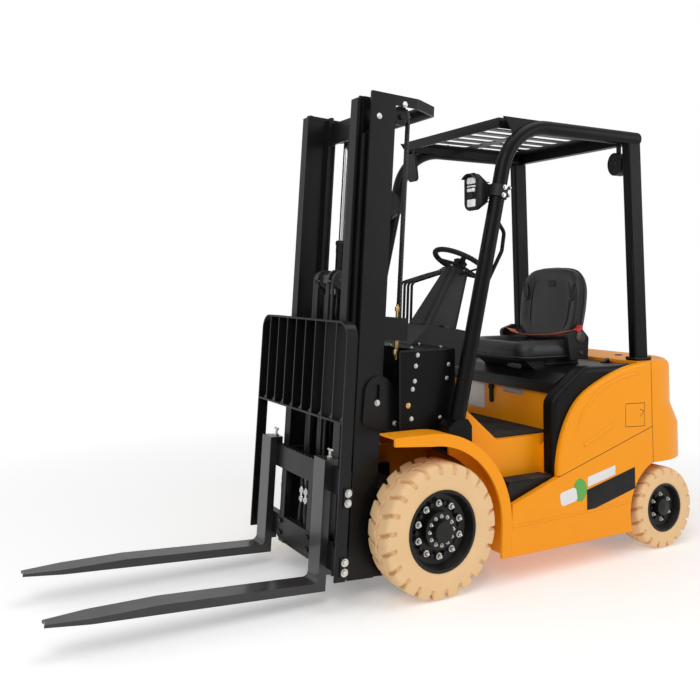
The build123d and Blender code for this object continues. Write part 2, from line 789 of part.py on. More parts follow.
with BuildPart() as tow_pin:
    with BuildSketch(level(cw_skirt_z + 26)):
        with Locations((0, rear_overhang - 34)):
            Circle(tow_pin_radius)
    extrude(amount=cw_step_z + 8 - cw_skirt_z - 26)
    with BuildSketch(level(cw_step_z + 1)):
        with Locations((0, rear_overhang - 34)):
            Circle(tow_pin_radius + 9)
    extrude(amount=9)
finish(tow_pin, "tow_pin")

# Battery hood, hinged at its rear edge, with the seat on it
with BuildPart() as battery_hood:
    half_hood = box_half + 2 - running_gap
    with BuildSketch(side(-half_hood)):
        with BuildLine():
            outer = FilletPolyline((hood_nose, hood_low), (hood_nose, hood_front_top), (hood_nose + 76, hood_front_top + 42),
                                   (hood_rear, hood_back_top), radius=24)
            Line(outer @ 1, (hood_rear, hood_back_top - hood_sheet))
            inner = FilletPolyline((hood_nose + hood_sheet, hood_low), (hood_nose + hood_sheet, hood_front_top - 4),
                                   (hood_nose + 78, hood_front_top + 34), (hood_rear, hood_back_top - hood_sheet), radius=16)
            Line(inner @ 0, outer @ 0)
        make_face()
    extrude(amount=2 * half_hood)
    for way in (1, -1):
        with BuildSketch(side(way * half_hood)):
            with BuildLine():
                Polyline((hood_nose + 4, hood_low + 20), (hood_nose + 4, hood_front_top - 6), (hood_nose + 78, hood_front_top + 38),
                         (hood_rear, hood_back_top - 4), (hood_rear, hood_back_top - 46), (hood_nose + 80, hood_front_top - 10),
                         (hood_nose + 4, hood_low + 20))
            make_face()
        extrude(amount=-way * hood_sheet)
        with BuildSketch(side(way * (hinge_x - hinge_half))):
            with Locations((hinge_y, hinge_z)):
                Circle(9)
            with Locations((hinge_y - 22, hood_back_top - 3)):
                Rectangle(44, 8)
            make_hull()
            with Locations((hinge_y, hinge_z)):
                Circle(5 + pin_gap, mode=Mode.SUBTRACT)
        extrude(amount=way * 2 * hinge_half)
finish(battery_hood, "battery_hood")


def hood_surface(y):
    run = (y - hood_nose - 76) / (hood_rear - hood_nose - 76)
    return hood_front_top + 42 + run * (hood_back_top - hood_front_top - 42)


with BuildPart() as seat_base:
    with BuildSketch(side(-seat_half + 45)):
        with BuildLine():
            Polyline((cushion_front + 110, hood_surface(cushion_front + 110) + seat_gap), (cushion_rear - 20, hood_surface(cushion_rear - 20) + seat_gap),
                     (cushion_rear - 20, cushion_low - seat_gap), (cushion_front + 50, cushion_low - seat_gap),
                     (cushion_front + 110, hood_surface(cushion_front + 110) + seat_gap))
        make_face()
    extrude(amount=2 * (seat_half - 45))
finish(seat_base, "seat_base")

with BuildPart() as seat_cushion:
    with BuildSketch(level(cushion_low)):
        with Locations((0, (cushion_front + cushion_rear) / 2)):
            RectangleRounded(2 * seat_half, cushion_rear - cushion_front, 70)
    extrude(amount=cushion_top - cushion_low - 20)
    fillet(seat_cushion.edges().group_by(Axis.Z)[-1], radius=32)
finish(seat_cushion, "seat_cushion")

with BuildPart() as seat_back:
    rest = Plane(origin=(0, axle_y + back_low_y, cushion_top - 12), x_dir=(1, 0, 0), z_dir=(0, -math.cos(math.radians(9)), math.sin(math.radians(9))))
    with BuildSketch(rest):
        with BuildLine():
            Line((-170, 0), (170, 0))
            Spline((170, 0), (228, 130), (224, 300), (120, 388), (0, 396), (-120, 388), (-224, 300), (-228, 130), (-170, 0))
        make_face()
    extrude(amount=-back_thick)
    fillet(seat_back.edges().filter_by(lambda e: e.length > 300 and e.geom_type != GeomType.LINE), radius=20)
finish(seat_back, "seat_back")

with BuildPart() as hip_restraint:
    for way in (1, -1):
        with BuildSketch(side(way * (seat_half + seat_gap))):
            with BuildLine():
                around = FilletPolyline((cushion_rear - 140, cushion_low + 4), (cushion_rear - 160, cushion_top + 30), (cushion_rear - 60, cushion_top + 60),
                                        (cushion_rear - 10, cushion_top + 10), (cushion_rear - 20, cushion_low + 4), radius=24)
                Line(around @ 1, around @ 0)
            make_face()
        extrude(amount=way * 24)
finish(hip_restraint, "hip_restraint")

with BuildPart() as seat_belt:
    with BuildSketch(side(-seat_half + 20)):
        with Locations((back_low_y - 60, cushion_top - 20 + seat_gap + 4)):
            RectangleRounded(50, 7, 3)
    extrude(amount=2 * seat_half - 40)
finish(seat_belt, "seat_belt")

# Cowl: side plates, a front plate behind the mast and a top plate
with BuildPart() as cowl:
    with BuildSketch(level(cowl_low)):
        with Locations((0, (cowl_side_front + cowl_rear) / 2)):
            Rectangle(2 * cowl_half, cowl_rear - cowl_side_front)
            Rectangle(2 * (cowl_half - cowl_sheet), cowl_rear - cowl_side_front + 2, mode=Mode.SUBTRACT)
        with Locations((0, cowl_rear - cowl_sheet / 2)):
            Rectangle(2 * cowl_half - 4, cowl_sheet)
    extrude(amount=cowl_top - cowl_low)
    with BuildSketch(level(cowl_front_low)):
        with Locations((0, cowl_front + cowl_sheet / 2)):
            Rectangle(2 * cowl_half - 4, cowl_sheet)
    extrude(amount=cowl_top - cowl_front_low)
    with BuildSketch(level(cowl_low - 2)):
        with Locations((0, cowl_rear - cowl_sheet / 2)):
            Rectangle(2 * (cowl_half - cowl_sheet), cowl_sheet + 2)
    extrude(amount=toe_top_z - cowl_low + 2 + 4, mode=Mode.SUBTRACT)
    with BuildSketch(level(cowl_top - cowl_sheet)):
        with Locations((0, (cowl_front + cowl_rear) / 2)):
            Rectangle(2 * cowl_half, cowl_rear - cowl_front)
    extrude(amount=cowl_sheet)
finish(cowl, "cowl")

axis_run = Vector(0, column_top[0] - column_foot[0], column_top[1] - column_foot[1]).normalized()
cover_slope = (column_foot[1] + 35 - 1063) / (505 - 210)
with BuildPart() as instrument_cover:
    with BuildSketch(side(-cover_half)):
        with BuildLine():
            Polyline((cowl_rear - 62, cowl_top + seat_gap), (210, 1120), (505, 1063), (504, 1029), (452, 918), (cowl_rear + seat_gap, 918),
                     (cowl_rear + seat_gap, cowl_top + seat_gap), (cowl_rear - 62, cowl_top + seat_gap))
        make_face()
    extrude(amount=2 * cover_half)
    fillet(instrument_cover.edges().filter_by(Axis.X).group_by(Axis.Z)[-1], radius=14)
finish(instrument_cover, "instrument_cover")

with BuildPart() as steering_column:
    foot = Plane(origin=(0, axle_y + column_foot[0], column_foot[1] - 20), x_dir=(1, 0, 0), z_dir=axis_run)
    top = Plane(origin=(0, axle_y + column_top[0], column_top[1]), x_dir=(1, 0, 0), z_dir=axis_run)
    with BuildSketch(foot):
        RectangleRounded(176, 210, 40)
    with BuildSketch(top):
        RectangleRounded(98, 112, 34)
    loft()
    with BuildSketch(top):
        Circle(12 + pin_gap)
    extrude(amount=-60, mode=Mode.SUBTRACT)
    seat_plane = Plane(origin=(0, axle_y + 210, 1120 + seat_gap), x_dir=(1, 0, 0), z_dir=Vector(0, 57, 295).normalized())
    split(bisect_by=seat_plane, keep=Keep.TOP)
finish(steering_column, "steering_column")

with BuildPart() as steering_wheel:
    hub = Plane(origin=Vector(0, axle_y + column_top[0], column_top[1]) + axis_run * wheel_rise, x_dir=(1, 0, 0), z_dir=axis_run)
    with Locations(hub.location):
        Torus(steering_radius - steering_grip, steering_grip)
    with BuildSketch(hub.offset(-24)):
        Circle(34)
    extrude(amount=30)
    with BuildSketch(hub.offset(-16)):
        with PolarLocations(0, 3, start_angle=90):
            with Locations(((steering_radius - steering_grip) / 2, 0)):
                Rectangle(steering_radius - steering_grip, 26)
    extrude(amount=10)
    with BuildSketch(hub.offset(-52 - 54)):
        Circle(12)
    extrude(amount=90)
    with BuildSketch(hub.offset(-50)):
        Circle(26)
    extrude(amount=32)
    with BuildSketch(hub.offset(8)):
        with Locations((96, 92)):
            Circle(20)
    extrude(amount=40)
finish(steering_wheel, "steering_wheel")

with BuildPart() as control_levers:
    with BuildSketch(side(lever_x - 3.5 * lever_pitch - 8)):
        with BuildLine():
            Polyline((cowl_rear + seat_gap, 920), (cowl_rear + seat_gap, 1072), (320, 1082), (330, 1010), (cowl_rear + seat_gap, 920))
        make_face()
    extrude(amount=4 * lever_pitch)
    for i in range(4):
        with BuildLine(side(lever_x - i * lever_pitch)) as path:
            FilletPolyline((279, 1060), (289, 1322), (452, 1366), (566, 1392), radius=30)
        with BuildSketch(Plane(origin=path.line @ 0, z_dir=path.line % 0)):
            Circle(lever_radius)
        sweep(path=path.line)
        with Locations(path.line @ 1):
            Sphere(17)
finish(control_levers, "control_levers")

def toe_line(y):
    return floor_z + (toe_back - y) * (toe_top_z - floor_z) / (toe_back - floor_front)


with BuildPart() as pedals:
    slope = math.degrees(math.atan2(toe_top_z - floor_z, toe_back - floor_front))
    for x, w in ((-60, 90), (150, 60)):
        pad = Plane(origin=(x, axle_y + 300, toe_line(300)), x_dir=(1, 0, 0), z_dir=(0, math.sin(math.radians(slope)), math.cos(math.radians(slope))))
        with BuildSketch(pad.offset(42)):
            RectangleRounded(w, 110, 12)
        extrude(amount=9)
        with BuildSketch(pad.offset(1)):
            with Locations((0, -30)):
                Rectangle(16, 20)
        extrude(amount=44)
finish(pedals, "pedals")

def leg_line(z):
    # where the front leg's middle is at a height
    return guard_foot[0] + (z - guard_foot[1]) * (guard_knee[0] - guard_foot[0]) / (guard_knee[1] - guard_foot[1])


# Overhead guard: bent side tubes, box legs at the rear and a slotted roof
with BuildPart() as overhead_guard:
    for way in (1, -1):
        with BuildLine(side(way * guard_x)) as path:
            FilletPolyline(guard_foot, guard_knee, (guard_top_rear, guard_knee[1]), radius=guard_bend)
        with BuildSketch(Plane(origin=path.line @ 0, z_dir=path.line % 0)):
            Circle(guard_tube)
        sweep(path=path.line)
        # rear leg
        for plane_z, run_y in ((leg_foot[1] + seat_gap, leg_foot[0]), (leg_top[1], leg_top[0])):
            with BuildSketch(level(plane_z)):
                with Locations((way * (guard_x - 5), run_y)):
                    RectangleRounded(leg_width, leg_depth, 10)
        loft()
        with BuildSketch(level(leg_foot[1] + seat_gap)):
            with Locations((way * (guard_x - 5), leg_foot[0])):
                RectangleRounded(leg_width + 24, leg_depth + 24, 12)
        extrude(amount=10)
        # corner gusset ahead of the bend
        with BuildSketch(side(way * (guard_x + 4))):
            Polygon((roof_front, 2100), (486, 2004), (640, 2098), align=None)
        extrude(amount=-way * 8)
        # foot block, shaped to the fender
        with BuildSketch(side(way * (guard_x - 42))):
            with BuildLine():
                Polyline((58, 640), (58, 700), (100, 730), (160, 730), (182, 700), (182, 600), (58, 640))
            make_face()
            with Locations(fender_centre):
                Circle(fender_radius + seat_gap, mode=Mode.SUBTRACT)
        extrude(amount=way * 84)
        with BuildSketch(side(way * (guard_x - 50))):
            with Locations(fender_centre):
                Circle(fender_radius + seat_gap)
        extrude(amount=way * 100, mode=Mode.SUBTRACT)
    with BuildSketch(face(guard_top_rear - 42)):
        with Locations((0, guard_knee[1] + 4)):
            RectangleRounded(2 * (guard_x - 10), 58, 8)
    extrude(amount=-42)
    # grab handle on the left leg
    with BuildLine(side(guard_x)) as path:
        FilletPolyline((leg_line(1604) + guard_tube - 6, 1604), (leg_line(1560) + 76, 1556), (leg_line(1480) + 80, 1470), (leg_line(1340) + guard_tube - 6, 1330), radius=34)
    with BuildSketch(Plane(origin=path.line @ 0, z_dir=path.line % 0)):
        Circle(9)
    sweep(path=path.line)
finish(overhead_guard, "overhead_guard")

with BuildPart() as roof_panel:
    half_roof = guard_x - guard_tube - seat_gap
    roof_rear = guard_top_rear - 42 - seat_gap
    with BuildSketch(level(guard_knee[1] + 28)):
        with Locations((0, (roof_front + roof_rear) / 2)):
            Rectangle(2 * half_roof, roof_rear - roof_front)
        pitch = 2 * (half_roof - 30) / roof_slots
        for y in (roof_front + 240, roof_front + 600):
            with Locations((0, y)):
                with GridLocations(pitch, 1, roof_slots, 1):
                    RectangleRounded(roof_slot_width, 300, 20, mode=Mode.SUBTRACT)
    extrude(amount=roof_sheet)
    for way in (1, -1):
        with BuildSketch(level(guard_knee[1] - 16)):
            with Locations((way * (half_roof - 4), (roof_front + roof_rear) / 2)):
                Rectangle(8, roof_rear - roof_front)
        extrude(amount=46)
    with BuildSketch(level(guard_knee[1] - 14)):
        with Locations((0, roof_front + 5)):
            Rectangle(2 * half_roof, 10)
    extrude(amount=44)
finish(roof_panel, "roof_panel")


leg_dir = Vector(0, guard_knee[0] - guard_foot[0], guard_knee[1] - guard_foot[1]).normalized()
with BuildPart() as lamps:
    for way in (1, -1):
        body = Plane(origin=(way * (guard_x - 62), axle_y + leg_line(lamp_z) - 84, lamp_z), x_dir=(1, 0, 0), z_dir=(0, -1, 0))
        with BuildSketch(body):
            RectangleRounded(96, 168, 34)
        with BuildSketch(body.offset(-46)):
            RectangleRounded(70, 110, 24)
        loft()
        with BuildSketch(body):
            RectangleRounded(96, 168, 34)
        extrude(amount=22)
        # clamp round the leg
        clamp = Plane(origin=(way * guard_x, axle_y + leg_line(lamp_z), lamp_z), x_dir=(1, 0, 0), z_dir=leg_dir)
        with BuildSketch(clamp.offset(-28)):
            Circle(guard_tube + 9)
            with Locations((-way * 40, -52)):
                Rectangle(34, 76)
            Circle(guard_tube + seat_gap, mode=Mode.SUBTRACT)
        extrude(amount=56)
    # round lamp under the rear beam
    with BuildSketch(face(guard_top_rear - 72)):
        with Locations((guard_x - 86, 1942)):
            Ellipse(46, 60)
    extrude(amount=-52)
    with BuildSketch(face(guard_top_rear - 40)):
        with Locations((guard_x - 86, 2012)):
            Rectangle(26, 2 * (2041 - seat_gap - 2012))
    extrude(amount=-8)
finish(lamps, "lamps")



# Mast: three pairs of rails, one inside another
def rails(step, low, high):
    # one nest step moves the section inward and forward
    out = rail_x - step * nest_x
    front = rail_front - step * nest_y
    rear = front + rail_depth
    web, rear_out, rear_in = {0: (out, out, out - rail_flange), 1: (out - 40, out, out - rail_flange), 2: (out - 40, out - 33, out - 78)}[step]
    for way in (1, -1):
        with BuildSketch(mast_level(low)) as section:
            with Locations((way * (out - rail_flange / 2), front + flange_thick / 2)):
                Rectangle(rail_flange, flange_thick)
            with Locations((way * (rear_out + rear_in) / 2, rear - flange_thick / 2)):
                Rectangle(rear_out - rear_in, flange_thick)
            with Locations((way * (web - web_thick / 2), (front + rear) / 2)):
                Rectangle(web_thick, rail_depth - 4)
        extrude(section.sketch, amount=high - low)


def roller(x, y, z, width, way, radius=roller_radius):
    with BuildSketch(mast_side(way * x)) as disc:
        with Locations((y, z)):
            Circle(radius)
    extrude(disc.sketch, amount=way * width)


def bar(x, y, low, high, width, depth):
    with BuildSketch(mast_level(low)) as section:
        with Locations((x, y)):
            Rectangle(width, depth)
    extrude(section.sketch, amount=high - low)


def rod(x, y, low, high, radius):
    with BuildSketch(mast_level(low)) as section:
        with Locations((x, y)):
            Circle(radius)
    extrude(section.sketch, amount=high - low)


def chain_wrap(x, y, z):
    with BuildSketch(mast_side(x - chain_width / 2)) as wrap:
        with Locations((y, z)):
            Circle(sheave_radius + chain_thick)
            Circle(sheave_radius - 1, mode=Mode.SUBTRACT)
        with Locations((y, z - 60)):
            Rectangle(200, 120, mode=Mode.SUBTRACT)
    extrude(wrap.sketch, amount=chain_width)


outer_rear = rail_front + rail_depth
middle_rear = outer_rear - nest_y
inner_rear = middle_rear - nest_y
tie_plan = [(rail_x, outer_rear - 20), (rail_x, outer_rear + 120), (tie_half_back, tie_back), (-tie_half_back, tie_back),
            (-rail_x, outer_rear + 120), (-rail_x, outer_rear - 20)]

with BuildPart() as mast_outer:
    rails(0, outer_low, outer_top)
    # bowed tie behind the rails at the top
    with BuildSketch(mast_level(outer_top - tie_height)) as tie:
        with BuildLine():
            around = FilletPolyline(*tie_plan, radius=34)
            Line(around @ 1, around @ 0)
        make_face()
    extrude(tie.sketch, amount=tie_height)
    with BuildSketch(mast_level(outer_top - tie_height - 1)) as tie_inside:
        with BuildLine():
            inner = FilletPolyline((rail_x - 13, outer_rear - 30), (rail_x - 13, outer_rear + 112), (tie_half_back - 8, tie_back - 14),
                                   (-tie_half_back + 8, tie_back - 14), (-rail_x + 13, outer_rear + 112), (-rail_x + 13, outer_rear - 30), radius=24)
            Line(inner @ 1, inner @ 0)
        make_face()
        with Locations((0, outer_rear - 30)):
            Rectangle(2 * (rail_x - rail_flange), 70, mode=Mode.ADD)
    extrude(tie_inside.sketch, amount=tie_height - 9, mode=Mode.SUBTRACT)
    with BuildSketch(mast_level(outer_top - 20)) as tie_hole:
        with BuildLine():
            hole = FilletPolyline((rail_x - 14, outer_rear - 30), (rail_x - 14, outer_rear + 92), (tie_half_back - 20, tie_back - 60),
                                  (-tie_half_back + 20, tie_back - 60), (-rail_x + 14, outer_rear + 92), (-rail_x + 14, outer_rear - 30), radius=24)
            Line(hole @ 1, hole @ 0)
        make_face()
    extrude(tie_hole.sketch, amount=30, mode=Mode.SUBTRACT)
    rails(0, outer_top - 60, outer_top)
    # rollers at the top, seen where the front flange is cut away
    for way in (1, -1):
        with BuildSketch(mast_level(outer_top - flange_cut)) as cut:
            with Locations((way * (rail_x - rail_flange / 2 - 8), rail_front + flange_thick / 2)):
                Rectangle(rail_flange - 16, flange_thick + 2)
        extrude(cut.sketch, amount=flange_cut + 1, mode=Mode.SUBTRACT)
        roller(rail_x - web_thick - 46, rail_front + rail_depth / 2 - nest_y, outer_top - roller_inset, 46.5, way, roller_radius - 0.7)
    # bottom beam and the lift cylinders' feet
    bar(0, outer_rear + 33, outer_low + 2, outer_low + 44, 2 * (rail_x - 4), 70)
    # chain anchor beam half way up, behind the cylinders
    bar(0, outer_rear + 111, anchor_z - 50, anchor_z + 50, 2 * rail_x, 12)
    for way in (1, -1):
        bar(way * (rail_x - 14), outer_rear + 58, anchor_z - 50, anchor_z + 50, 28, 118)
        bar(way * mast_chain_x, anchor_y + 0, anchor_z - 28, anchor_z + 28, 32, 40)
        # foot lug round the axle tube
        with BuildSketch(mast_side(way * foot_lug_x[0])) as lug:
            with Locations((0, front_tyre_radius)):
                Circle(foot_lug_radius)
            with Locations((outer_rear + 8, front_tyre_radius)):
                Rectangle(16, 300)
            make_hull()
            with Locations((0, front_tyre_radius)):
                Circle(axle_tube_radius + seat_gap, mode=Mode.SUBTRACT)
        extrude(lug.sketch, amount=way * (foot_lug_x[1] - foot_lug_x[0]))
        # tilt cylinder bracket outside the web, with a slot, and its inner ear
        with BuildSketch(mast_side(way * (rail_x - 0.5))) as bracket:
            with Locations((outer_rear - 20, tilt_mast[1] + 130)):
                Circle(72)
            with Locations((tilt_mast[0], tilt_mast[1])):
                Circle(44)
            with Locations((outer_rear - 66, tilt_mast[1] + 20)):
                Circle(30)
            make_hull()
            with Locations((outer_rear - 30, tilt_mast[1] + 122)):
                SlotOverall(90, 22, rotation=90, mode=Mode.SUBTRACT)
        extrude(bracket.sketch, amount=way * (tilt_bracket_thick + 0.5))
        with BuildSketch(mast_side(way * (tilt_x - tilt_eye_half - 1.2))) as ear:
            with Locations(tilt_mast):
                Circle(26)
            with Locations((outer_rear + 1, tilt_mast[1])):
                Rectangle(4, 90)
            make_hull()
        extrude(ear.sketch, amount=-way * 10)
        with BuildSketch(mast_side(way * (tilt_x - tilt_eye_half - 6))) as pin:
            with Locations(tilt_mast):
                Circle(tilt_pin_radius)
        extrude(pin.sketch, amount=way * (rail_x - tilt_x + tilt_eye_half + 8))
finish(mast_outer, "mast_outer")

with BuildPart() as lift_barrels:
    for way in (1, -1):
        rod(way * lift_x, lift_y, outer_low + 44 + seat_gap, lift_barrel_top - 40, lift_barrel)
        rod(way * lift_x, lift_y, lift_barrel_top - 40, lift_barrel_top, lift_barrel + 1.5)
    with Locations(*[Plane(origin=mast_point(way * lift_x, lift_y, lift_barrel_top), z_dir=lean.z_dir).location for way in (1, -1)]):
        Hole(radius=lift_rod + pin_gap, depth=lift_barrel_top - outer_low - 60)
finish(lift_barrels, "lift_barrels")

with BuildPart() as mast_middle:
    rails(1, middle_low, middle_top)
    for way in (1, -1):
        with BuildSketch(mast_level(middle_top - flange_cut)) as cut:
            with Locations((way * (rail_x - nest_x - rail_flange / 2), rail_front - nest_y + flange_thick / 2)):
                Rectangle(rail_flange - 26, flange_thick + 2)
            with Locations((way * (rail_x - nest_x - 12), rail_front - nest_y + flange_thick / 2)):
                Rectangle(30, flange_thick + 2)
        extrude(cut.sketch, amount=flange_cut + 1, mode=Mode.SUBTRACT)
    bar(0, middle_rear + 7.5, middle_low + 4, middle_low + 44, 2 * (rail_x - rail_flange - 7), 19)
    # top beam with the sheave pins
    bar(0, (middle_rear + mast_sheave_y + 34) / 2, mast_sheave_z + 10, mast_sheave_z + 46, 2 * (rail_x - rail_flange - running_gap), mast_sheave_y + 34 - middle_rear + 2)
    for way in (1, -1):
        with BuildSketch(mast_side(way * (rail_x - rail_flange - running_gap - 12))) as cheek:
            with Locations((mast_sheave_y, mast_sheave_z)):
                Circle(24)
            with Locations((mast_sheave_y, mast_sheave_z + 28)):
                Rectangle(60, 30)
            make_hull()
        extrude(cheek.sketch, amount=way * 12)
        with BuildSketch(mast_side(way * (rail_x - rail_flange - running_gap - 2))) as pin:
            with Locations((mast_sheave_y, mast_sheave_z)):
                Circle(12)
        extrude(pin.sketch, amount=way * 40)
        roller(mast_chain_x - sheave_width / 2, mast_sheave_y, mast_sheave_z, sheave_width, way, sheave_radius)
        chain_wrap(way * mast_chain_x, mast_sheave_y, mast_sheave_z)
        rod(way * lift_x, lift_y, outer_low + 70, mast_sheave_z + 14, lift_rod)
finish(mast_middle, "mast_middle")

with BuildPart() as mast_inner:
    rails(2, inner_low, inner_top)
    bar(0, inner_rear + 2, inner_top - 130, inner_top - 30, 2 * (rail_x - 2 * nest_x - 50), 14)
    bar(0, inner_rear + 2, inner_low + 2, inner_low + 72, 2 * (rail_x - 2 * nest_x - 50), 14)
    bar(0, (inner_rear + free_y - free_barrel) / 2, inner_low + 12, inner_low + 36, 2 * free_barrel + 40, inner_rear - free_y + free_barrel + 12)
    for way in (1, -1):
        # ear for the mast chain, passing behind the other rails
        with BuildSketch(mast_level(ear_z)) as ear:
            Polygon((way * 219, inner_rear - 4), (way * 238, inner_rear - 4), (way * 238, middle_rear + running_gap), (way * 262, middle_rear + running_gap),
                    (way * 262, outer_rear + running_gap), (way * 291, outer_rear + running_gap), (way * 291, outer_rear + 28), (way * 219, outer_rear + 28), align=None)
        extrude(ear.sketch, amount=28)
finish(mast_inner, "mast_inner")

with BuildPart() as free_lift_barrel:
    rod(0, free_y, inner_low + 36 + seat_gap, free_barrel_top - 30, free_barrel)
    rod(0, free_y, free_barrel_top - 30, free_barrel_top, free_barrel + 1)
    bar(0, free_y + 40, 300, 340, 2 * free_chain_x + 26, 24)
    with Locations(Plane(origin=mast_point(0, free_y, free_barrel_top), z_dir=lean.z_dir).location):
        Hole(radius=free_rod + pin_gap, depth=900)
finish(free_lift_barrel, "free_lift_barrel")

with BuildPart() as free_lift_ram:
    rod(0, free_y, 360, free_sheave_z - 12, free_rod)
    bar(0, free_y, free_sheave_z - 14, free_sheave_z + 24, 60, 56)
    with BuildSketch(mast_side(-free_chain_x - 22)) as pin:
        with Locations((free_y, free_sheave_z)):
            Circle(12)
    extrude(pin.sketch, amount=2 * (free_chain_x + 22))
    for way in (1, -1):
        roller(free_chain_x - sheave_width / 2, free_y, free_sheave_z, sheave_width, way, sheave_radius)
        chain_wrap(way * free_chain_x, free_y, free_sheave_z)
finish(free_lift_ram, "free_lift_ram")

# Straight chain runs
run_offset = sheave_radius + chain_thick / 2
with BuildPart() as mast_chain_front:
    for way in (1, -1):
        bar(way * mast_chain_x, mast_sheave_y - run_offset, ear_z + 28 + seat_gap, mast_sheave_z - seat_gap, chain_width, chain_thick)
finish(mast_chain_front, "mast_chain_front")

with BuildPart() as mast_chain_rear:
    for way in (1, -1):
        bar(way * mast_chain_x, mast_sheave_y + run_offset, anchor_z + 28 + seat_gap, mast_sheave_z - seat_gap, chain_width, chain_thick)
finish(mast_chain_rear, "mast_chain_rear")

beam_top = carriage_top - 40
with BuildPart() as carriage_chain_front:
    for way in (1, -1):
        bar(way * free_chain_x, free_y - run_offset, beam_top + seat_gap, free_sheave_z - seat_gap, chain_width, chain_thick)
finish(carriage_chain_front, "carriage_chain_front")

with BuildPart() as carriage_chain_rear:
    for way in (1, -1):
        bar(way * free_chain_x, free_y + run_offset, 340 + seat_gap, free_sheave_z - seat_gap, chain_width, chain_thick)
finish(carriage_chain_rear, "carriage_chain_rear")

# Carriage: two fork bars, side plates with rollers and the chain beam
bar_rear = shank_front + fork_thick + carriage_bar
inner_front = rail_front - 2 * nest_y
roller_y = inner_front + rail_depth / 2
with BuildPart() as carriage:
    for low, high in ((carriage_low, carriage_low + low_bar_height), (carriage_top - top_bar_height, carriage_top)):
        bar(0, bar_rear - carriage_bar / 2, low, high, 2 * carriage_half, carriage_bar)
    for way in (1, -1):
        bar(way * (side_plate_x - side_plate_thick / 2), (bar_rear + roller_y + 20) / 2, carriage_low + 6, carriage_top - 4, side_plate_thick, roller_y + 20 - bar_rear + 4)
        bar(way * (side_plate_x - 60), bar_rear - carriage_bar / 2, carriage_low + 20, carriage_top - 20, 40, carriage_bar - 4)
        for z in (carriage_low + 62, carriage_top - 62):
            roller(side_plate_x - 1, roller_y, z, 28, way)
    bar(0, free_y - run_offset - 7, beam_top - 44, beam_top, 2 * side_plate_x - 10, 22)
finish(carriage, "carriage")

for name, way in wheel_sides.items():
    with BuildPart() as fork:
        heel = shank_front + fork_thick
        tip = shank_front - fork_length
        with BuildSketch(mast_side(way * fork_x - fork_width / 2)) as profile:
            with BuildLine():
                top = fork_low + fork_thick
                Polyline((heel, shank_top), (shank_front, shank_top), (shank_front, top + 24))
                JernArc((shank_front, top + 24), (0, -1), 24, -90)
                Polyline((shank_front - 24, top), (tip + fork_taper, top), (tip, fork_low + fork_tip), (tip, fork_low), (heel, fork_low), (heel, shank_top))
            make_face()
        extrude(profile.sketch, amount=fork_width)
        with BuildSketch(mast_level(fork_low - 4)) as plan:
            with BuildLine():
                edge = fork_width / 2 - 6
                x = way * fork_x
                Polyline((x + fork_width / 2, heel + 60), (x + fork_width / 2, tip + 170), (x + 26, tip + 14))
                RadiusArc((x + 26, tip + 14), (x - 26, tip + 14), -60)
                Polyline((x - 26, tip + 14), (x - fork_width / 2, tip + 170), (x - fork_width / 2, heel + 60), (x + fork_width / 2, heel + 60))
            make_face()
        extrude(plan.sketch, amount=shank_top + 200, mode=Mode.INTERSECT)
        # hooks over the top bar and under the low bar
        bar(way * fork_x, heel + 14, carriage_top + seat_gap, shank_top, fork_width - 12, 32)
        bar(way * fork_x, heel + 12, carriage_low - 30, carriage_low - seat_gap, fork_width - 12, 28)
    finish(fork, "fork_" + name)

with BuildPart() as load_backrest:
    back = mast_face(bar_rear - 8)
    with BuildSketch(back) as hoop:
        with BuildLine():
            outer = FilletPolyline((-rest_half, rest_low), (-rest_half, rest_top), (rest_half, rest_top), (rest_half, rest_low), radius=rest_corner)
            Line(outer @ 1, (rest_half - rest_bar, rest_low))
            inner = FilletPolyline((rest_half - rest_bar, rest_low), (rest_half - rest_bar, rest_top - rest_bar), (-rest_half + rest_bar, rest_top - rest_bar),
                                   (-rest_half + rest_bar, rest_low), radius=rest_corner - rest_bar)
            Line(inner @ 1, outer @ 0)
        make_face()
        with Locations((0, rest_cross_z)):
            Rectangle(2 * rest_half - 2, rest_bar)
        pitch = 2 * rest_half / (rest_bars + 1)
        with Locations((0, (rest_cross_z + rest_top) / 2)):
            with GridLocations(pitch, 1, rest_bars, 1):
                Rectangle(rest_bar, rest_top - rest_cross_z - 4)
    extrude(hoop.sketch, amount=rest_depth)
finish(load_backrest, "load_backrest")

# Tilt cylinders: barrels on the frame's pins, rods on the mast's pins
mast_pin = mast_point(0, *tilt_mast)
tilt_from = Vector(0, axle_y + tilt_frame[0], tilt_frame[1])
tilt_run = Vector(0, mast_pin.Y, mast_pin.Z) - tilt_from
tilt_dir = tilt_run.normalized()
with BuildPart() as tilt_barrels:
    for way in (1, -1):
        base = Plane(origin=(way * tilt_x, tilt_from.Y, tilt_from.Z), x_dir=(1, 0, 0), z_dir=tilt_dir)
        with BuildSketch(side(way * tilt_x - tilt_eye_half)) as eye:
            with Locations(tilt_frame):
                Circle(tilt_eye_radius)
        extrude(eye.sketch, amount=2 * tilt_eye_half)
        with BuildSketch(base.offset(4)) as neck:
            Rectangle(2 * tilt_eye_half, 40)
        extrude(neck.sketch, amount=40)
        with BuildSketch(base.offset(38)) as body:
            Circle(tilt_barrel_radius)
        extrude(body.sketch, amount=tilt_barrel_length - 22)
        with BuildSketch(side(way * tilt_x - tilt_eye_half - 2)) as hole:
            with Locations(tilt_frame):
                Circle(tilt_pin_radius + pin_gap)
        extrude(hole.sketch, amount=2 * tilt_eye_half + 4, mode=Mode.SUBTRACT)
        with BuildSketch(base.offset(70)) as bore:
            Circle(tilt_rod_radius + pin_gap)
        extrude(bore.sketch, amount=tilt_barrel_length, mode=Mode.SUBTRACT)
finish(tilt_barrels, "tilt_barrels")

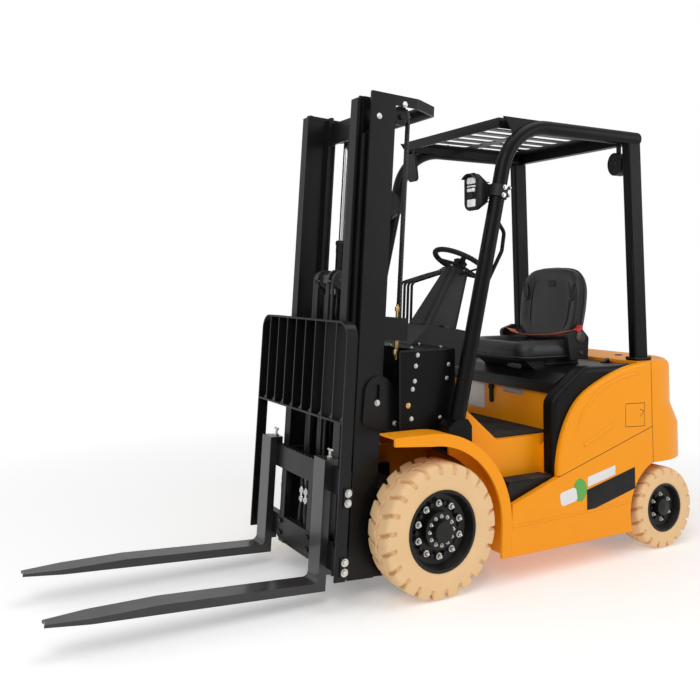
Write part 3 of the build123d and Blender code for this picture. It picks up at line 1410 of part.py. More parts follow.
with BuildPart() as tilt_rods:
    for way in (1, -1):
        base = Plane(origin=(way * tilt_x, tilt_from.Y, tilt_from.Z), x_dir=(1, 0, 0), z_dir=tilt_dir)
        with BuildSketch(base.offset(190)) as body:
            Circle(tilt_rod_radius)
        extrude(body.sketch, amount=tilt_run.length - 190 - 54)
        with BuildSketch(base.offset(tilt_run.length - 60)) as neck:
            Rectangle(2 * tilt_eye_half, 30)
        extrude(neck.sketch, amount=58)
        with BuildSketch(mast_side(way * tilt_x - tilt_eye_half)) as eye:
            with Locations(tilt_mast):
                Circle(tilt_eye_radius)
        extrude(eye.sketch, amount=2 * tilt_eye_half)
        with BuildSketch(mast_side(way * tilt_x - tilt_eye_half - 20)) as hole:
            with Locations(tilt_mast):
                Circle(tilt_pin_radius + 1)
        extrude(hole.sketch, amount=2 * tilt_eye_half + 40, mode=Mode.SUBTRACT)
finish(tilt_rods, "tilt_rods")
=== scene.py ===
"""Looks of an electric counterbalance forklift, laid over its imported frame.

Lengths are in metres. Heights run from the floor, and lengths along the truck
from the front axle, as in the part's source. Mast pieces are given in the
mast's own upright frame and leaned back with it.
"""

import logging
import math
from dataclasses import dataclass, field
from enum import Enum

import bmesh
import bpy
import numpy as np
from mathutils import Matrix, Vector


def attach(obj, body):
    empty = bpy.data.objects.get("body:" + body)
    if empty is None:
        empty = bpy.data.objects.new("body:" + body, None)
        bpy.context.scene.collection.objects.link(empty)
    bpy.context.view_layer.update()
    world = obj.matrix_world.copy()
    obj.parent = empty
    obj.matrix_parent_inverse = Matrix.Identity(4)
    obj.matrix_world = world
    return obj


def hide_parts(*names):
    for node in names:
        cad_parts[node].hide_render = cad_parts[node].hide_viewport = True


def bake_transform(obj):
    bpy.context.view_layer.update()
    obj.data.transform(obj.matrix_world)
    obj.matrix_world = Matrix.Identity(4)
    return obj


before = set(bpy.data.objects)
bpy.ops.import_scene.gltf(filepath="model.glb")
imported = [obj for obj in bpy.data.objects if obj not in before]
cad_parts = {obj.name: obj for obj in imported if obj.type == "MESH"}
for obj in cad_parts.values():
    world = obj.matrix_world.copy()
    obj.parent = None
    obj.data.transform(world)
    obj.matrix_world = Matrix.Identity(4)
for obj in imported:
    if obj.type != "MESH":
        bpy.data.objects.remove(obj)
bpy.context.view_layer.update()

log = logging.getLogger("forklift")
AXLE_Y = -0.0505
LEAN = math.radians(3.4)
TILT_HEIGHT = 0.282
WHEELBASE = 1.36
FREE_Y = -0.322
FREE_CHAIN_X = 0.056
MAST_CHAIN_X = 0.28
LIFT_X = 0.165
LIFT_Y = -0.185
PIPE_X = 0.122
PIPE_Y = -0.158
TAU = 2 * math.pi
SIDES = (1, -1)


class Body(Enum):
    """Bodies of the frame that pieces ride on."""

    TRUCK = "truck"
    HOOD = "hood"
    HAND_WHEEL = "hand_wheel"
    FRONT_LEFT = "wheel_front_left"
    FRONT_RIGHT = "wheel_front_right"
    REAR_LEFT = "wheel_rear_left"
    REAR_RIGHT = "wheel_rear_right"
    MAST = "mast"
    MIDDLE = "middle_mast"
    INNER = "inner_mast"
    RAM = "free_ram"
    CARRIAGE = "fork_carriage"


MAST_BODIES = (Body.MAST, Body.MIDDLE, Body.INNER, Body.RAM, Body.CARRIAGE)


def axle(x: float, y: float, z: float) -> np.ndarray:
    """Place of a point whose length is given from the front axle."""
    return np.array([x, y + AXLE_Y, z])


def mast(points: np.ndarray) -> np.ndarray:
    """Leans upright mast points back about the front axle.

    Args:
        points: Array of points, x to the left, y rearward, z from the floor.

    Returns:
        The points turned by the lean about the axle's line.
    """
    p = np.asarray(points, float)
    y, z = p[..., 1], p[..., 2] - TILT_HEIGHT
    along = AXLE_Y + y * math.cos(LEAN) + z * math.sin(LEAN)
    height = TILT_HEIGHT - y * math.sin(LEAN) + z * math.cos(LEAN)
    return np.stack([p[..., 0], along, height], axis=-1)


def unit(vector: np.ndarray) -> np.ndarray:
    """Vectors scaled to length one along the last axis."""
    v = np.asarray(vector, float)
    return v / np.maximum(np.linalg.norm(v, axis=-1, keepdims=True), 1e-12)


@dataclass
class Shell:
    """Points and faces of a mesh in the making.

    Attributes:
        points: Array (n, 3) of corner points.
        faces: Face lists of corner indices.
    """

    points: np.ndarray
    faces: list

    def placed(self, matrix: np.ndarray) -> "Shell":
        """The shell moved by a 4 by 4 matrix."""
        m = np.asarray(matrix, float)
        return Shell(self.points @ m[:3, :3].T + m[:3, 3], self.faces)

    def leaned(self) -> "Shell":
        """The shell taken from the upright mast frame to the leaning one."""
        return Shell(mast(self.points), self.faces)


def joined(shells: list) -> Shell:
    """Puts shells together into one.

    Args:
        shells: The shells to join.

    Returns:
        One shell whose face indices are shifted past the earlier points.
    """
    starts = np.cumsum([0] + [len(s.points) for s in shells])
    faces = [[i + start for i in face] for s, start in zip(shells, starts) for face in s.faces]
    return Shell(np.concatenate([s.points for s in shells]), faces)


def woven(grid: np.ndarray, wrap_u: bool = False, wrap_v: bool = False, caps: bool = False) -> Shell:
    """Quads over a grid of points.

    Args:
        grid: Array (nu, nv, 3), a surface of two parameters.
        wrap_u: Whether the last row meets the first.
        wrap_v: Whether the last column meets the first.
        caps: Whether the first and last rows are closed by one face each.

    Returns:
        A shell whose quad corners are (u, v), (u+1, v), (u+1, v+1), (u, v+1).
    """
    nu, nv = grid.shape[:2]
    index = np.arange(nu * nv).reshape(nu, nv)
    ahead_u = np.roll(index, -1, axis=0)
    a, b = (index, ahead_u) if wrap_u else (index[:-1], index[1:])
    if wrap_v:
        quads = np.stack([a, b, np.roll(b, -1, axis=1), np.roll(a, -1, axis=1)], axis=-1)
    else:
        quads = np.stack([a[:, :-1], b[:, :-1], b[:, 1:], a[:, 1:]], axis=-1)
    faces = quads.reshape(-1, 4).tolist()
    if caps:
        faces += [index[0].tolist(), index[-1][::-1].tolist()]
    return Shell(grid.reshape(-1, 3), faces)


def frame_of(origin: np.ndarray, z_axis: np.ndarray, x_hint: tuple = (1, 0, 0)) -> np.ndarray:
    """A 4 by 4 matrix whose third axis is given.

    Args:
        origin: Where local zero goes.
        z_axis: Direction of local z.
        x_hint: Rough direction of local x.

    Returns:
        The matrix, with x made square to z.
    """
    z = unit(z_axis)
    x = np.asarray(x_hint, float)
    x = x - z * (x @ z)
    if np.linalg.norm(x) < 1e-6:
        x = np.array([0.0, 1.0, 0.0]) - z * z[1]
    x = unit(x)
    m = np.eye(4)
    m[:3, 0], m[:3, 1], m[:3, 2], m[:3, 3] = x, np.cross(z, x), z, origin
    return m


def turned(profile: list, sides: int = 48) -> Shell:
    """A profile of (radius, height) turned about local z.

    Each point goes round at angle t as (r cos t, r sin t, h).

    Args:
        profile: Pairs of radius and height, closed by the axis at both ends.
        sides: Number of steps round.

    Returns:
        The turned shell.
    """
    p = np.asarray(profile, float)
    t = np.linspace(0, TAU, sides, endpoint=False)
    grid = np.stack(
        [p[:, None, 0] * np.cos(t), p[:, None, 0] * np.sin(t), np.repeat(p[:, None, 1], sides, axis=1)],
        axis=-1)
    return woven(grid, wrap_v=True, caps=True)


def ring(major: float, minor: float, sides: int = 64, section: int = 12) -> Shell:
    """A torus about local z: ((R + r cos s) cos t, (R + r cos s) sin t, r sin s)."""
    t = np.linspace(0, TAU, sides, endpoint=False)[:, None]
    s = np.linspace(0, TAU, section, endpoint=False)[None, :]
    reach = major + minor * np.cos(s)
    rise = np.tile(minor * np.sin(s), (sides, 1))
    return woven(np.stack([reach * np.cos(t), reach * np.sin(t), rise], axis=-1), True, True)


def slab(outline: np.ndarray, depth: float) -> Shell:
    """An outline in local x and y carried from z = 0 to z = depth."""
    o = np.asarray(outline, float)
    low = np.column_stack([o, np.zeros(len(o))])
    return woven(np.stack([low, low + [0, 0, depth]]), wrap_v=True, caps=True)


def soft_slab(outline: np.ndarray, depth: float, edge: float) -> Shell:
    """A slab whose upper rim is rounded: rows shrink towards the middle by a quarter circle."""
    o = np.asarray(outline, float)
    centre = o.mean(axis=0)
    reach = np.linalg.norm(o - centre, axis=1, keepdims=True)
    steps = np.linspace(0, math.pi / 2, 5)
    rows = [np.column_stack([o, np.zeros(len(o))])]
    for angle in steps:
        inset = edge * (1 - math.cos(angle))
        ring_points = centre + (o - centre) * (1 - inset / reach)
        rows.append(np.column_stack([ring_points, np.full(len(o), depth - edge + edge * math.sin(angle))]))
    return woven(np.stack(rows), wrap_v=True, caps=True)


def round_box(width: float, height: float, radius: float, corner: int = 5) -> np.ndarray:
    """Outline of a rectangle with rounded corners about the origin."""
    radius = min(radius, width / 2 - 1e-5, height / 2 - 1e-5)
    t = np.linspace(0, math.pi / 2, corner)
    arcs = []
    for k, (sx, sy) in enumerate(((1, 1), (-1, 1), (-1, -1), (1, -1))):
        turn = t + k * math.pi / 2
        arcs.append(
            np.column_stack(
                [
                    sx * (width / 2 - radius) + radius * np.cos(turn),
                    sy * (height / 2 - radius) + radius * np.sin(turn)]))
    return np.concatenate(arcs)


def smooth_path(points: list, count: int = 60) -> np.ndarray:
    """A Catmull-Rom curve through points, as one array.

    Args:
        points: Points that the curve goes through.
        count: Number of samples along it.

    Returns:
        Array (count, 3).
    """
    p = np.asarray(points, float)
    p = np.concatenate([[2 * p[0] - p[1]], p, [2 * p[-1] - p[-2]]])
    u = np.linspace(0, len(p) - 3 - 1e-9, count)
    k = u.astype(int)
    f = (u - k)[:, None]
    a, b, c, d = p[k], p[k + 1], p[k + 2], p[k + 3]
    return 0.5 * (
        2 * b + (c - a) * f + (2 * a - 5 * b + 4 * c - d) * f ** 2 + (3 * b - a - 3 * c + d) * f ** 3)


def carried(section: np.ndarray, path: np.ndarray, up: tuple, closed: bool = False) -> Shell:
    """A section carried along a path.

    The section's x lies square to the path and to up, and its y along the rest.

    Args:
        section: Array (m, 2) of the outline.
        path: Array (n, 3).
        up: A direction never along the path.
        closed: Whether the path meets itself.

    Returns:
        The swept shell.
    """
    ends = np.roll(path, -1, axis=0) - np.roll(path, 1, axis=0)
    if not closed:
        ends[0], ends[-1] = path[1] - path[0], path[-1] - path[-2]
    t = unit(ends)
    x = unit(np.cross(t, np.asarray(up, float)))
    y = np.cross(x, t)
    grid = path[:, None] + x[:, None] * section[None, :, :1] + y[:, None] * section[None, :, 1:]
    return woven(grid, wrap_u=closed, wrap_v=True, caps=not closed)


def circle(radius: float, sides: int = 12) -> np.ndarray:
    """Outline of a circle."""
    t = np.linspace(0, TAU, sides, endpoint=False)
    return np.column_stack([radius * np.cos(t), radius * np.sin(t)])


def hex_bolt(across: float, height: float, washer: float = 0.0) -> Shell:
    """A hexagon head on a washer, standing on local z = 0."""
    head = circle(across / 2, 6)
    rows = [(1.0, 0.0), (1.0, height * 0.8), (0.86, height)]
    grid = np.stack([np.column_stack([head * s, np.full(6, z + washer)]) for s, z in rows])
    body = woven(grid, wrap_v=True, caps=True)
    if not washer:
        return body
    return joined([turned([(across * 0.68, 0), (across * 0.68, washer)], 16), body])


def copies(shell: Shell, matrices: list) -> Shell:
    """The same shell at several places."""
    return joined([shell.placed(m) for m in matrices])


def shift(x: float, y: float, z: float) -> np.ndarray:
    """A matrix that only moves."""
    m = np.eye(4)
    m[:3, 3] = x, y, z
    return m


def spin_z(angle: float) -> np.ndarray:
    """A matrix that turns about local z."""
    m = np.eye(4)
    m[0, 0] = m[1, 1] = math.cos(angle)
    m[1, 0], m[0, 1] = math.sin(angle), -math.sin(angle)
    return m


def make(name: str, shell: Shell, body: Body | None, finish: bpy.types.Material,
         smooth: float = 35.0, rounds: int = 0, replaces: tuple = ()) -> bpy.types.Object:
    """Turns a shell into a Blender object that rides on a body.

    Args:
        name: Object name.
        shell: The shape, in the row's frame.
        body: The body it rides on, or none for a piece on no body.
        finish: Its material.
        smooth: Angle in degrees under which edges shade smoothly.
        rounds: Subdivision levels.
        replaces: Frame nodes that this piece stands for.

    Returns:
        The new object.
    """
    data = bpy.data.meshes.new(name)
    data.from_pydata(shell.points.tolist(), [], shell.faces)
    work = bmesh.new()
    work.from_mesh(data)
    bmesh.ops.remove_doubles(work, verts=work.verts, dist=1e-6)
    bmesh.ops.recalc_face_normals(work, faces=work.faces)
    work.to_mesh(data)
    work.free()
    data.materials.append(finish)
    piece = bpy.data.objects.new(name, data)
    bpy.context.scene.collection.objects.link(piece)
    data.shade_smooth()
    data.set_sharp_from_angle(angle=math.radians(smooth))
    if rounds:
        soft = piece.modifiers.new("rounds", "SUBSURF")
        soft.levels = soft.render_levels = rounds
    if replaces:
        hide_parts(*replaces)
    if body:
        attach(piece, body.value)
    log.info("%s: %d faces", name, len(data.polygons))
    return piece


def add(name: str, parts: list, body: Body, finish: bpy.types.Material, smooth: float = 40.0) -> None:
    """Joins parts into one piece, leaned back where its body belongs to the mast.

    Args:
        name: Object name.
        parts: Shells that make the piece.
        body: The body it rides on.
        finish: Its material.
        smooth: Angle in degrees under which edges shade smoothly.
    """
    shell = joined(parts)
    if body in MAST_BODIES:
        shell = shell.leaned()
    make(name, shell, body, finish, smooth)


# Finishes


@dataclass
class Wiring:
    """Adds and links nodes in one tree.

    Attributes:
        tree: The node tree that is written.
    """

    tree: bpy.types.NodeTree

    def node(self, kind: str, **values: object) -> bpy.types.Node:
        """A new node with plain properties set."""
        made = self.tree.nodes.new(kind)
        for key, value in values.items():
            setattr(made, key, value)
        return made

    def put(self, socket: bpy.types.NodeSocket, value: object) -> None:
        """Links a socket or sets its value."""
        if isinstance(value, bpy.types.NodeSocket):
            self.tree.links.new(value, socket)
        else:
            socket.default_value = value

    def math(self, operation: str, a: object, b: object = 0.0, clamp: bool = False) -> bpy.types.NodeSocket:
        """One math node's result."""
        made = self.node("ShaderNodeMath", operation=operation, use_clamp=clamp)
        self.put(made.inputs[0], a)
        self.put(made.inputs[1], b)
        return made.outputs[0]

    def noise(self, vector: object, scale: object, detail: float = 4.0,
              rough: float = 0.55) -> bpy.types.NodeSocket:
        """Noise height at a scale."""
        made = self.node("ShaderNodeTexNoise")
        return self.fill(made, Vector=vector, Scale=scale, Detail=detail, Roughness=rough).outputs["Fac"]

    def ramp(self, value: object, low: object, high: object, to_low: float = 0.0,
             to_high: float = 1.0) -> bpy.types.NodeSocket:
        """A value mapped from one range to another and kept inside it."""
        made = self.node("ShaderNodeMapRange", clamp=True)
        self.fill(made, Value=value, From_Min=low, From_Max=high, To_Min=to_low, To_Max=to_high)
        return made.outputs[0]

    def bump(self, height: object, strength: float) -> bpy.types.Node:
        """A bump node for a height of a fraction of a millimetre."""
        return self.fill(self.node("ShaderNodeBump"), Height=height, Strength=strength, Distance=0.0006)

    def mix(self, factor: object, a: object, b: object) -> bpy.types.NodeSocket:
        """Two colours mixed."""
        made = self.node("ShaderNodeMix", data_type="RGBA")
        self.put(made.inputs[0], factor)
        self.put(made.inputs[6], a)
        self.put(made.inputs[7], b)
        return made.outputs[2]

    def group(self, tree: bpy.types.NodeTree, **values: object) -> bpy.types.Node:
        """A placed node group with its inputs set."""
        return self.fill(self.node("ShaderNodeGroup", node_tree=tree), **values)

    def fill(self, node: bpy.types.Node, **values: object) -> bpy.types.Node:
        """Sets a node's inputs, named with a low line for each space."""
        for key, value in values.items():
            self.put(node.inputs[key.replace("_", " ")], value)
        return node


def blank_material(name: str) -> tuple:
    """A new node material with its wiring, its shader and the object's own coordinates."""
    made = bpy.data.materials.new(name)
    made.use_nodes = True
    w = Wiring(made.node_tree)
    where = w.node("ShaderNodeTexCoord").outputs["Object"]
    return made, w, made.node_tree.nodes["Principled BSDF"], where


def group_tree(name: str, inputs: dict, outputs: list) -> tuple:
    """A new shader node group with its sockets.

    A socket's kind follows from its label, and is a plain number unless stated.

    Args:
        name: Group name.
        inputs: Labels of the inputs and the default of each.
        outputs: Labels of the outputs.

    Returns:
        The tree's wiring, the values given to the group and the sockets it returns.
    """
    tree = bpy.data.node_groups.new(name, "ShaderNodeTree")
    kinds = {"Vector": "NodeSocketVector", "Normal": "NodeSocketVector", "Color": "NodeSocketColor"}
    for label, default in inputs.items():
        kind = kinds.get(label, "NodeSocketFloat")
        socket = tree.interface.new_socket(label, in_out="INPUT", socket_type=kind)
        if default is not None:
            socket.default_value = default
    for label in outputs:
        tree.interface.new_socket(label, in_out="OUTPUT", socket_type=kinds.get(label, "NodeSocketFloat"))
    given, result = tree.nodes.new("NodeGroupInput"), tree.nodes.new("NodeGroupOutput")
    return Wiring(tree), given.outputs, result.inputs


@dataclass
class Effects:
    """Node groups that several finishes share: grain, dust, cloudiness and edges."""

    def __post_init__(self) -> None:
        """Builds every group once."""
        self.grain = self.build_grain()
        self.dust = self.build_dust()
        self.cloud = self.build_cloud()
        self.edge = self.build_edge()
        self.weave = self.build_weave()

    def build_grain(self) -> bpy.types.NodeTree:
        """Fine height of moulded or cast surfaces: two noises, the finer one at a third."""
        w, given, result = group_tree("grain", {"Vector": None, "Size": 400.0}, ["Height"])
        coarse = w.noise(given["Vector"], given["Size"], 3.0)
        fine = w.noise(given["Vector"], w.math("MULTIPLY", given["Size"], 3.7), 2.0)
        w.put(result["Height"], w.math("ADD", coarse, w.math("MULTIPLY", fine, 0.33)))
        return w.tree

    def build_dust(self) -> bpy.types.NodeTree:
        """Dust mask: patchy noise, stronger on faces that look up and near the floor."""
        w, given, result = group_tree("dust", {"Vector": None, "Amount": 0.2, "Reach": 0.5}, ["Mask"])
        patches = w.ramp(w.noise(given["Vector"], 9.0, 6.0, 0.65), 0.35, 0.75)
        shape = w.node("ShaderNodeNewGeometry")
        normal = w.node("ShaderNodeSeparateXYZ")
        w.put(normal.inputs[0], shape.outputs["Normal"])
        place = w.node("ShaderNodeSeparateXYZ")
        w.put(place.inputs[0], given["Vector"])
        upward = w.ramp(normal.outputs["Z"], 0.2, 1.0, 0.15, 1.0)
        low = w.ramp(place.outputs["Z"], given["Reach"], 0.0, 0.35, 1.0)
        mask = w.math("MULTIPLY", patches, w.math("MULTIPLY", upward, low))
        w.put(result["Mask"], w.math("MULTIPLY", mask, given["Amount"], clamp=True))
        return w.tree

    def build_cloud(self) -> bpy.types.NodeTree:
        """Slow variation of a colour, from darker to lighter than its own value."""
        w, given, result = group_tree(
            "cloud", {"Vector": None, "Color": None, "Size": 6.0, "Strength": 0.08}, ["Color", "Value"])
        wave = w.noise(given["Vector"], given["Size"], 5.0)
        swing = w.math("MULTIPLY", given["Strength"], 2.0)
        lift = w.math("ADD", w.math("MULTIPLY", w.math("SUBTRACT", wave, 0.5), swing), 1.0)
        hue = w.fill(w.node("ShaderNodeHueSaturation"), Color=given["Color"], Value=lift)
        w.put(result["Color"], hue.outputs["Color"])
        w.put(result["Value"], wave)
        return w.tree

    def build_edge(self) -> bpy.types.NodeTree:
        """Edge mask and rounded normal: where the softened normal leaves the flat one."""
        w, given, result = group_tree(
            "edge", {"Vector": None, "Radius": 0.003, "Amount": 0.5}, ["Mask", "Normal"])
        soft = w.fill(w.node("ShaderNodeBevel", samples=6), Radius=given["Radius"])
        shape = w.node("ShaderNodeNewGeometry")
        dot = w.node("ShaderNodeVectorMath", operation="DOT_PRODUCT")
        w.put(dot.inputs[0], soft.outputs[0])
        w.put(dot.inputs[1], shape.outputs["Normal"])
        bend = w.ramp(dot.outputs["Value"], 0.985, 0.8)
        patches = w.ramp(w.noise(given["Vector"], 38.0, 5.0, 0.7), 0.5, 0.62)
        mask = w.math("MULTIPLY", bend, patches)
        w.put(result["Mask"], w.math("MULTIPLY", mask, given["Amount"], clamp=True))
        w.put(result["Normal"], soft.outputs[0])
        return w.tree

    def build_weave(self) -> bpy.types.NodeTree:
        """Webbing height: two crossed rows of threads, sine by sine."""
        w, given, result = group_tree("weave", {"Vector": None, "Size": 900.0}, ["Height"])
        part = w.node("ShaderNodeSeparateXYZ")
        w.put(part.inputs[0], given["Vector"])
        rows = [w.math("SINE", w.math("MULTIPLY", part.outputs[k], given["Size"])) for k in range(3)]
        crossed = [w.math("MULTIPLY", rows[k], rows[k + 1]) for k in range(2)]
        w.put(result["Height"], w.math("ADD", *crossed))
        return w.tree


@dataclass(frozen=True)
class Finish:
    """One surface finish and its material.

    Attributes:
        name: Material name.
        color: Linear base colour.
        rough: Roughness of the clean surface.
        metal: Metallic value.
        coat: Coat weight of clear gloss.
        grain: Size of the fine height, zero for none.
        depth: Strength of the fine height.
        cloud: Strength of the slow colour variation.
        dust: Amount of dust.
        reach: Height under which dust grows.
        wear: Amount of edge wear.
        worn: Colour under the worn edge.
        radius: Radius of the softened edges.
        weave: Thread size of webbing, zero for none.
        sheen: Sheen weight.
        spec: Specular level.
    """

    name: str
    color: tuple
    rough: float = 0.45
    metal: float = 0.0
    coat: float = 0.0
    grain: float = 0.0
    depth: float = 0.1
    cloud: float = 0.05
    dust: float = 0.08
    reach: float = 0.6
    wear: float = 0.0
    worn: tuple = (0.3, 0.29, 0.28)
    radius: float = 0.002
    weave: float = 0.0
    sheen: float = 0.0
    spec: float = 0.5

    def material(self, effects: Effects) -> bpy.types.Material:
        """Builds the node material.

        Args:
            effects: The shared node groups.

        Returns:
            The material.
        """
        made, w, shader, where = blank_material(self.name)
        cloud = w.group(effects.cloud, Vector=where, Color=(*self.color, 1), Strength=self.cloud)
        color = cloud.outputs["Color"]
        rough = w.ramp(cloud.outputs["Value"], 0.3, 0.7, self.rough * 0.88, min(1.0, self.rough * 1.14))
        edge = w.group(effects.edge, Vector=where, Radius=self.radius, Amount=self.wear)
        if self.wear:
            color = w.mix(edge.outputs["Mask"], color, (*self.worn, 1))
        if self.dust:
            dust = w.group(effects.dust, Vector=where, Amount=self.dust, Reach=self.reach)
            color = w.mix(dust.outputs["Mask"], color, (0.42, 0.37, 0.3, 1))
            rough = w.math("ADD", rough, w.math("MULTIPLY", dust.outputs["Mask"], 0.35), clamp=True)
        w.fill(shader, Base_Color=color, Roughness=rough, Metallic=self.metal, Coat_Weight=self.coat,
               Coat_Roughness=0.12, Sheen_Weight=self.sheen, Specular_IOR_Level=self.spec)
        normal = edge.outputs["Normal"]
        if self.grain or self.weave:
            tree, size = (effects.weave, self.weave) if self.weave else (effects.grain, self.grain)
            height = w.group(tree, Vector=where, Size=size).outputs["Height"]
            normal = w.fill(w.bump(height, self.depth), Normal=normal).outputs[0]
        w.put(shader.inputs["Normal"], normal)
        return made


@dataclass(frozen=True)
class Lens:
    """Tinted plastic over a lamp or a display.

    Attributes:
        name: Material name.
        color: Linear colour.
        rough: Roughness.
    """

    name: str
    color: tuple
    rough: float = 0.08

    def material(self, effects: Effects) -> bpy.types.Material:
        """Builds the lens material with fine ribs in its height."""
        made, w, shader, where = blank_material(self.name)
        cloud = w.group(effects.cloud, Vector=where, Color=(*self.color, 1), Size=30.0, Strength=0.06)
        ribs = w.bump(w.group(effects.weave, Vector=where, Size=700.0).outputs["Height"], 0.25)
        w.fill(shader, Base_Color=cloud.outputs["Color"], Roughness=self.rough, Coat_Weight=0.6,
               Normal=ribs.outputs[0])
        return made


@dataclass
class Paints:
    """All the finishes of the truck."""

    def __post_init__(self) -> None:
        """Builds each material once."""
        effects = Effects()
        orange = (0.96, 0.335, 0.004)
        table = [
            Finish(
                "orange_paint", orange, 0.36, coat=0.1, grain=240, depth=0.03, cloud=0.03, dust=0.02,
                radius=0.004, spec=0.16),
            Finish(
                "orange_casting", orange, 0.42, coat=0.08, grain=90, depth=0.14, cloud=0.04, dust=0.02,
                radius=0.006, spec=0.16),
            Finish(
                "black_paint", (0.0045, 0.0045, 0.0048), 0.36, coat=0.04, spec=0.22, grain=420, depth=0.1,
                cloud=0.1, dust=0.05, wear=0.1, worn=(0.1, 0.1, 0.1)),
            Finish(
                "mast_paint", (0.0042, 0.0042, 0.0046), 0.34, coat=0.04, spec=0.22, grain=330, depth=0.08,
                cloud=0.1, dust=0.04, wear=0.12, worn=(0.11, 0.11, 0.11)),
            # A darker, less glossy copy of the black paint for the cowl, side covers and guard: its darker
            # base colour is painted shade, and its lower gloss is a finish.
            Finish(
                "black_satin", (0.0028, 0.0028, 0.003), 0.38, coat=0.02, spec=0.12, grain=420, depth=0.1,
                cloud=0.1, dust=0.03, wear=0.08, worn=(0.09, 0.09, 0.09)),
            Finish(
                "cast_black", (0.006, 0.006, 0.0066), 0.5, spec=0.22, grain=120, depth=0.3, cloud=0.14,
                dust=0.1),
            Finish(
                "fork_black", (0.0105, 0.0105, 0.011), 0.32, coat=0.3, spec=0.5, grain=160, depth=0.18,
                cloud=0.2, dust=0.1, reach=1.4, wear=0.28, worn=(0.2, 0.2, 0.2), radius=0.003),
            Finish(
                "plastic_black", (0.0085, 0.0085, 0.0092), 0.48, spec=0.28, grain=700, depth=0.35, cloud=0.06,
                dust=0.05),
            Finish(
                "rubber_black", (0.008, 0.008, 0.0084), 0.72, spec=0.28, grain=500, depth=0.3, cloud=0.12,
                dust=0.16, reach=1.2),
            Finish(
                "rim_black", (0.005, 0.005, 0.0054), 0.34, coat=0.06, spec=0.25, grain=260, depth=0.06,
                cloud=0.08, dust=0.1, wear=0.08, worn=(0.14, 0.14, 0.14)),
            Finish(
                "tyre_cream", (0.84, 0.565, 0.3), 0.7, grain=300, depth=0.35, cloud=0.1, dust=0.16, reach=0.1,
                spec=0.22, radius=0.003),
            Finish(
                "seat_vinyl", (0.0095, 0.0095, 0.01), 0.4, spec=0.4, grain=520, depth=0.55, cloud=0.06,
                dust=0.04, sheen=0.06),
            Finish("piping", (0.018, 0.018, 0.019), 0.5, grain=600, depth=0.3),
            Finish(
                "belt_web", (0.8, 0.165, 0.055), 0.7, weave=1500.0, depth=0.5, cloud=0.05, dust=0.0, sheen=0.2
            ),
            Finish("belt_red", (0.55, 0.02, 0.015), 0.35, grain=500, depth=0.1, dust=0.0),
            Finish(
                "zinc", (0.62, 0.61, 0.58), 0.28, metal=1.0, grain=500, depth=0.1, cloud=0.12, dust=0.05,
                radius=0.001),
            Finish(
                "brass", (0.62, 0.42, 0.16), 0.3, metal=1.0, grain=500, depth=0.08, cloud=0.12, dust=0.03,
                radius=0.001),
            Finish(
                "chain_steel", (0.06, 0.056, 0.052), 0.36, metal=0.85, grain=500, depth=0.15, cloud=0.25,
                dust=0.06, radius=0.0008),
            Finish(
                "rod_chrome", (0.62, 0.62, 0.63), 0.14, metal=1.0, grain=900, depth=0.03, cloud=0.04,
                dust=0.02),
            Finish(
                "dark_steel", (0.085, 0.084, 0.082), 0.42, metal=0.8, grain=380, depth=0.2, cloud=0.16,
                dust=0.08),
            Finish("hose_rubber", (0.012, 0.012, 0.0125), 0.58, grain=800, depth=0.3, cloud=0.06, dust=0.08),
            Finish("plate_white", (0.8, 0.8, 0.79), 0.38, grain=300, depth=0.03, cloud=0.03, dust=0.03),
            Finish("plate_green", (0.1, 0.4, 0.06), 0.38, grain=300, depth=0.03, cloud=0.05, dust=0.02),
            Finish("plate_grey", (0.33, 0.33, 0.33), 0.4, grain=300, depth=0.05, cloud=0.05, dust=0.03),
            Finish("battery_grey", (0.09, 0.09, 0.095), 0.5, grain=260, depth=0.1),
            Finish("gap_dark", (0.003, 0.003, 0.003), 0.85, grain=300, depth=0.05, dust=0.0),
        ]
        lenses = [
            Lens("lens_clear", (0.86, 0.87, 0.9), 0.1),
            Lens("lens_red", (0.45, 0.012, 0.01), 0.12),
            Lens("lens_amber", (0.8, 0.22, 0.02), 0.12),
            Lens("screen", (0.015, 0.02, 0.028), 0.06),
        ]
        for item in table + lenses:
            setattr(self, item.name, item.material(effects))


def dress(nodes: dict) -> None:
    """Gives frame nodes their materials.

    Args:
        nodes: Node names and the material of each.
    """
    for name, material in nodes.items():
        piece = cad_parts[name]
        for entry in piece.material_slots:
            entry.material = material
        if not piece.material_slots:
            piece.data.materials.append(material)


# Wheels: radius over the lugs, radius at the rim, width, lugs, groove; and each ring of
# nuts by count, ring radius, distance out and width across

FRONT_TYRE = (0.282, 0.1705, 0.17, 22, 0.017)
REAR_TYRE = (0.198, 0.1185, 0.15, 18, 0.013)
FRONT_NUTS = ((10, 0.11, 0.045, 0.021), (12, 0.06, 0.065, 0.0125))
REAR_NUTS = ((6, 0.062, 0.043, 0.0145),)


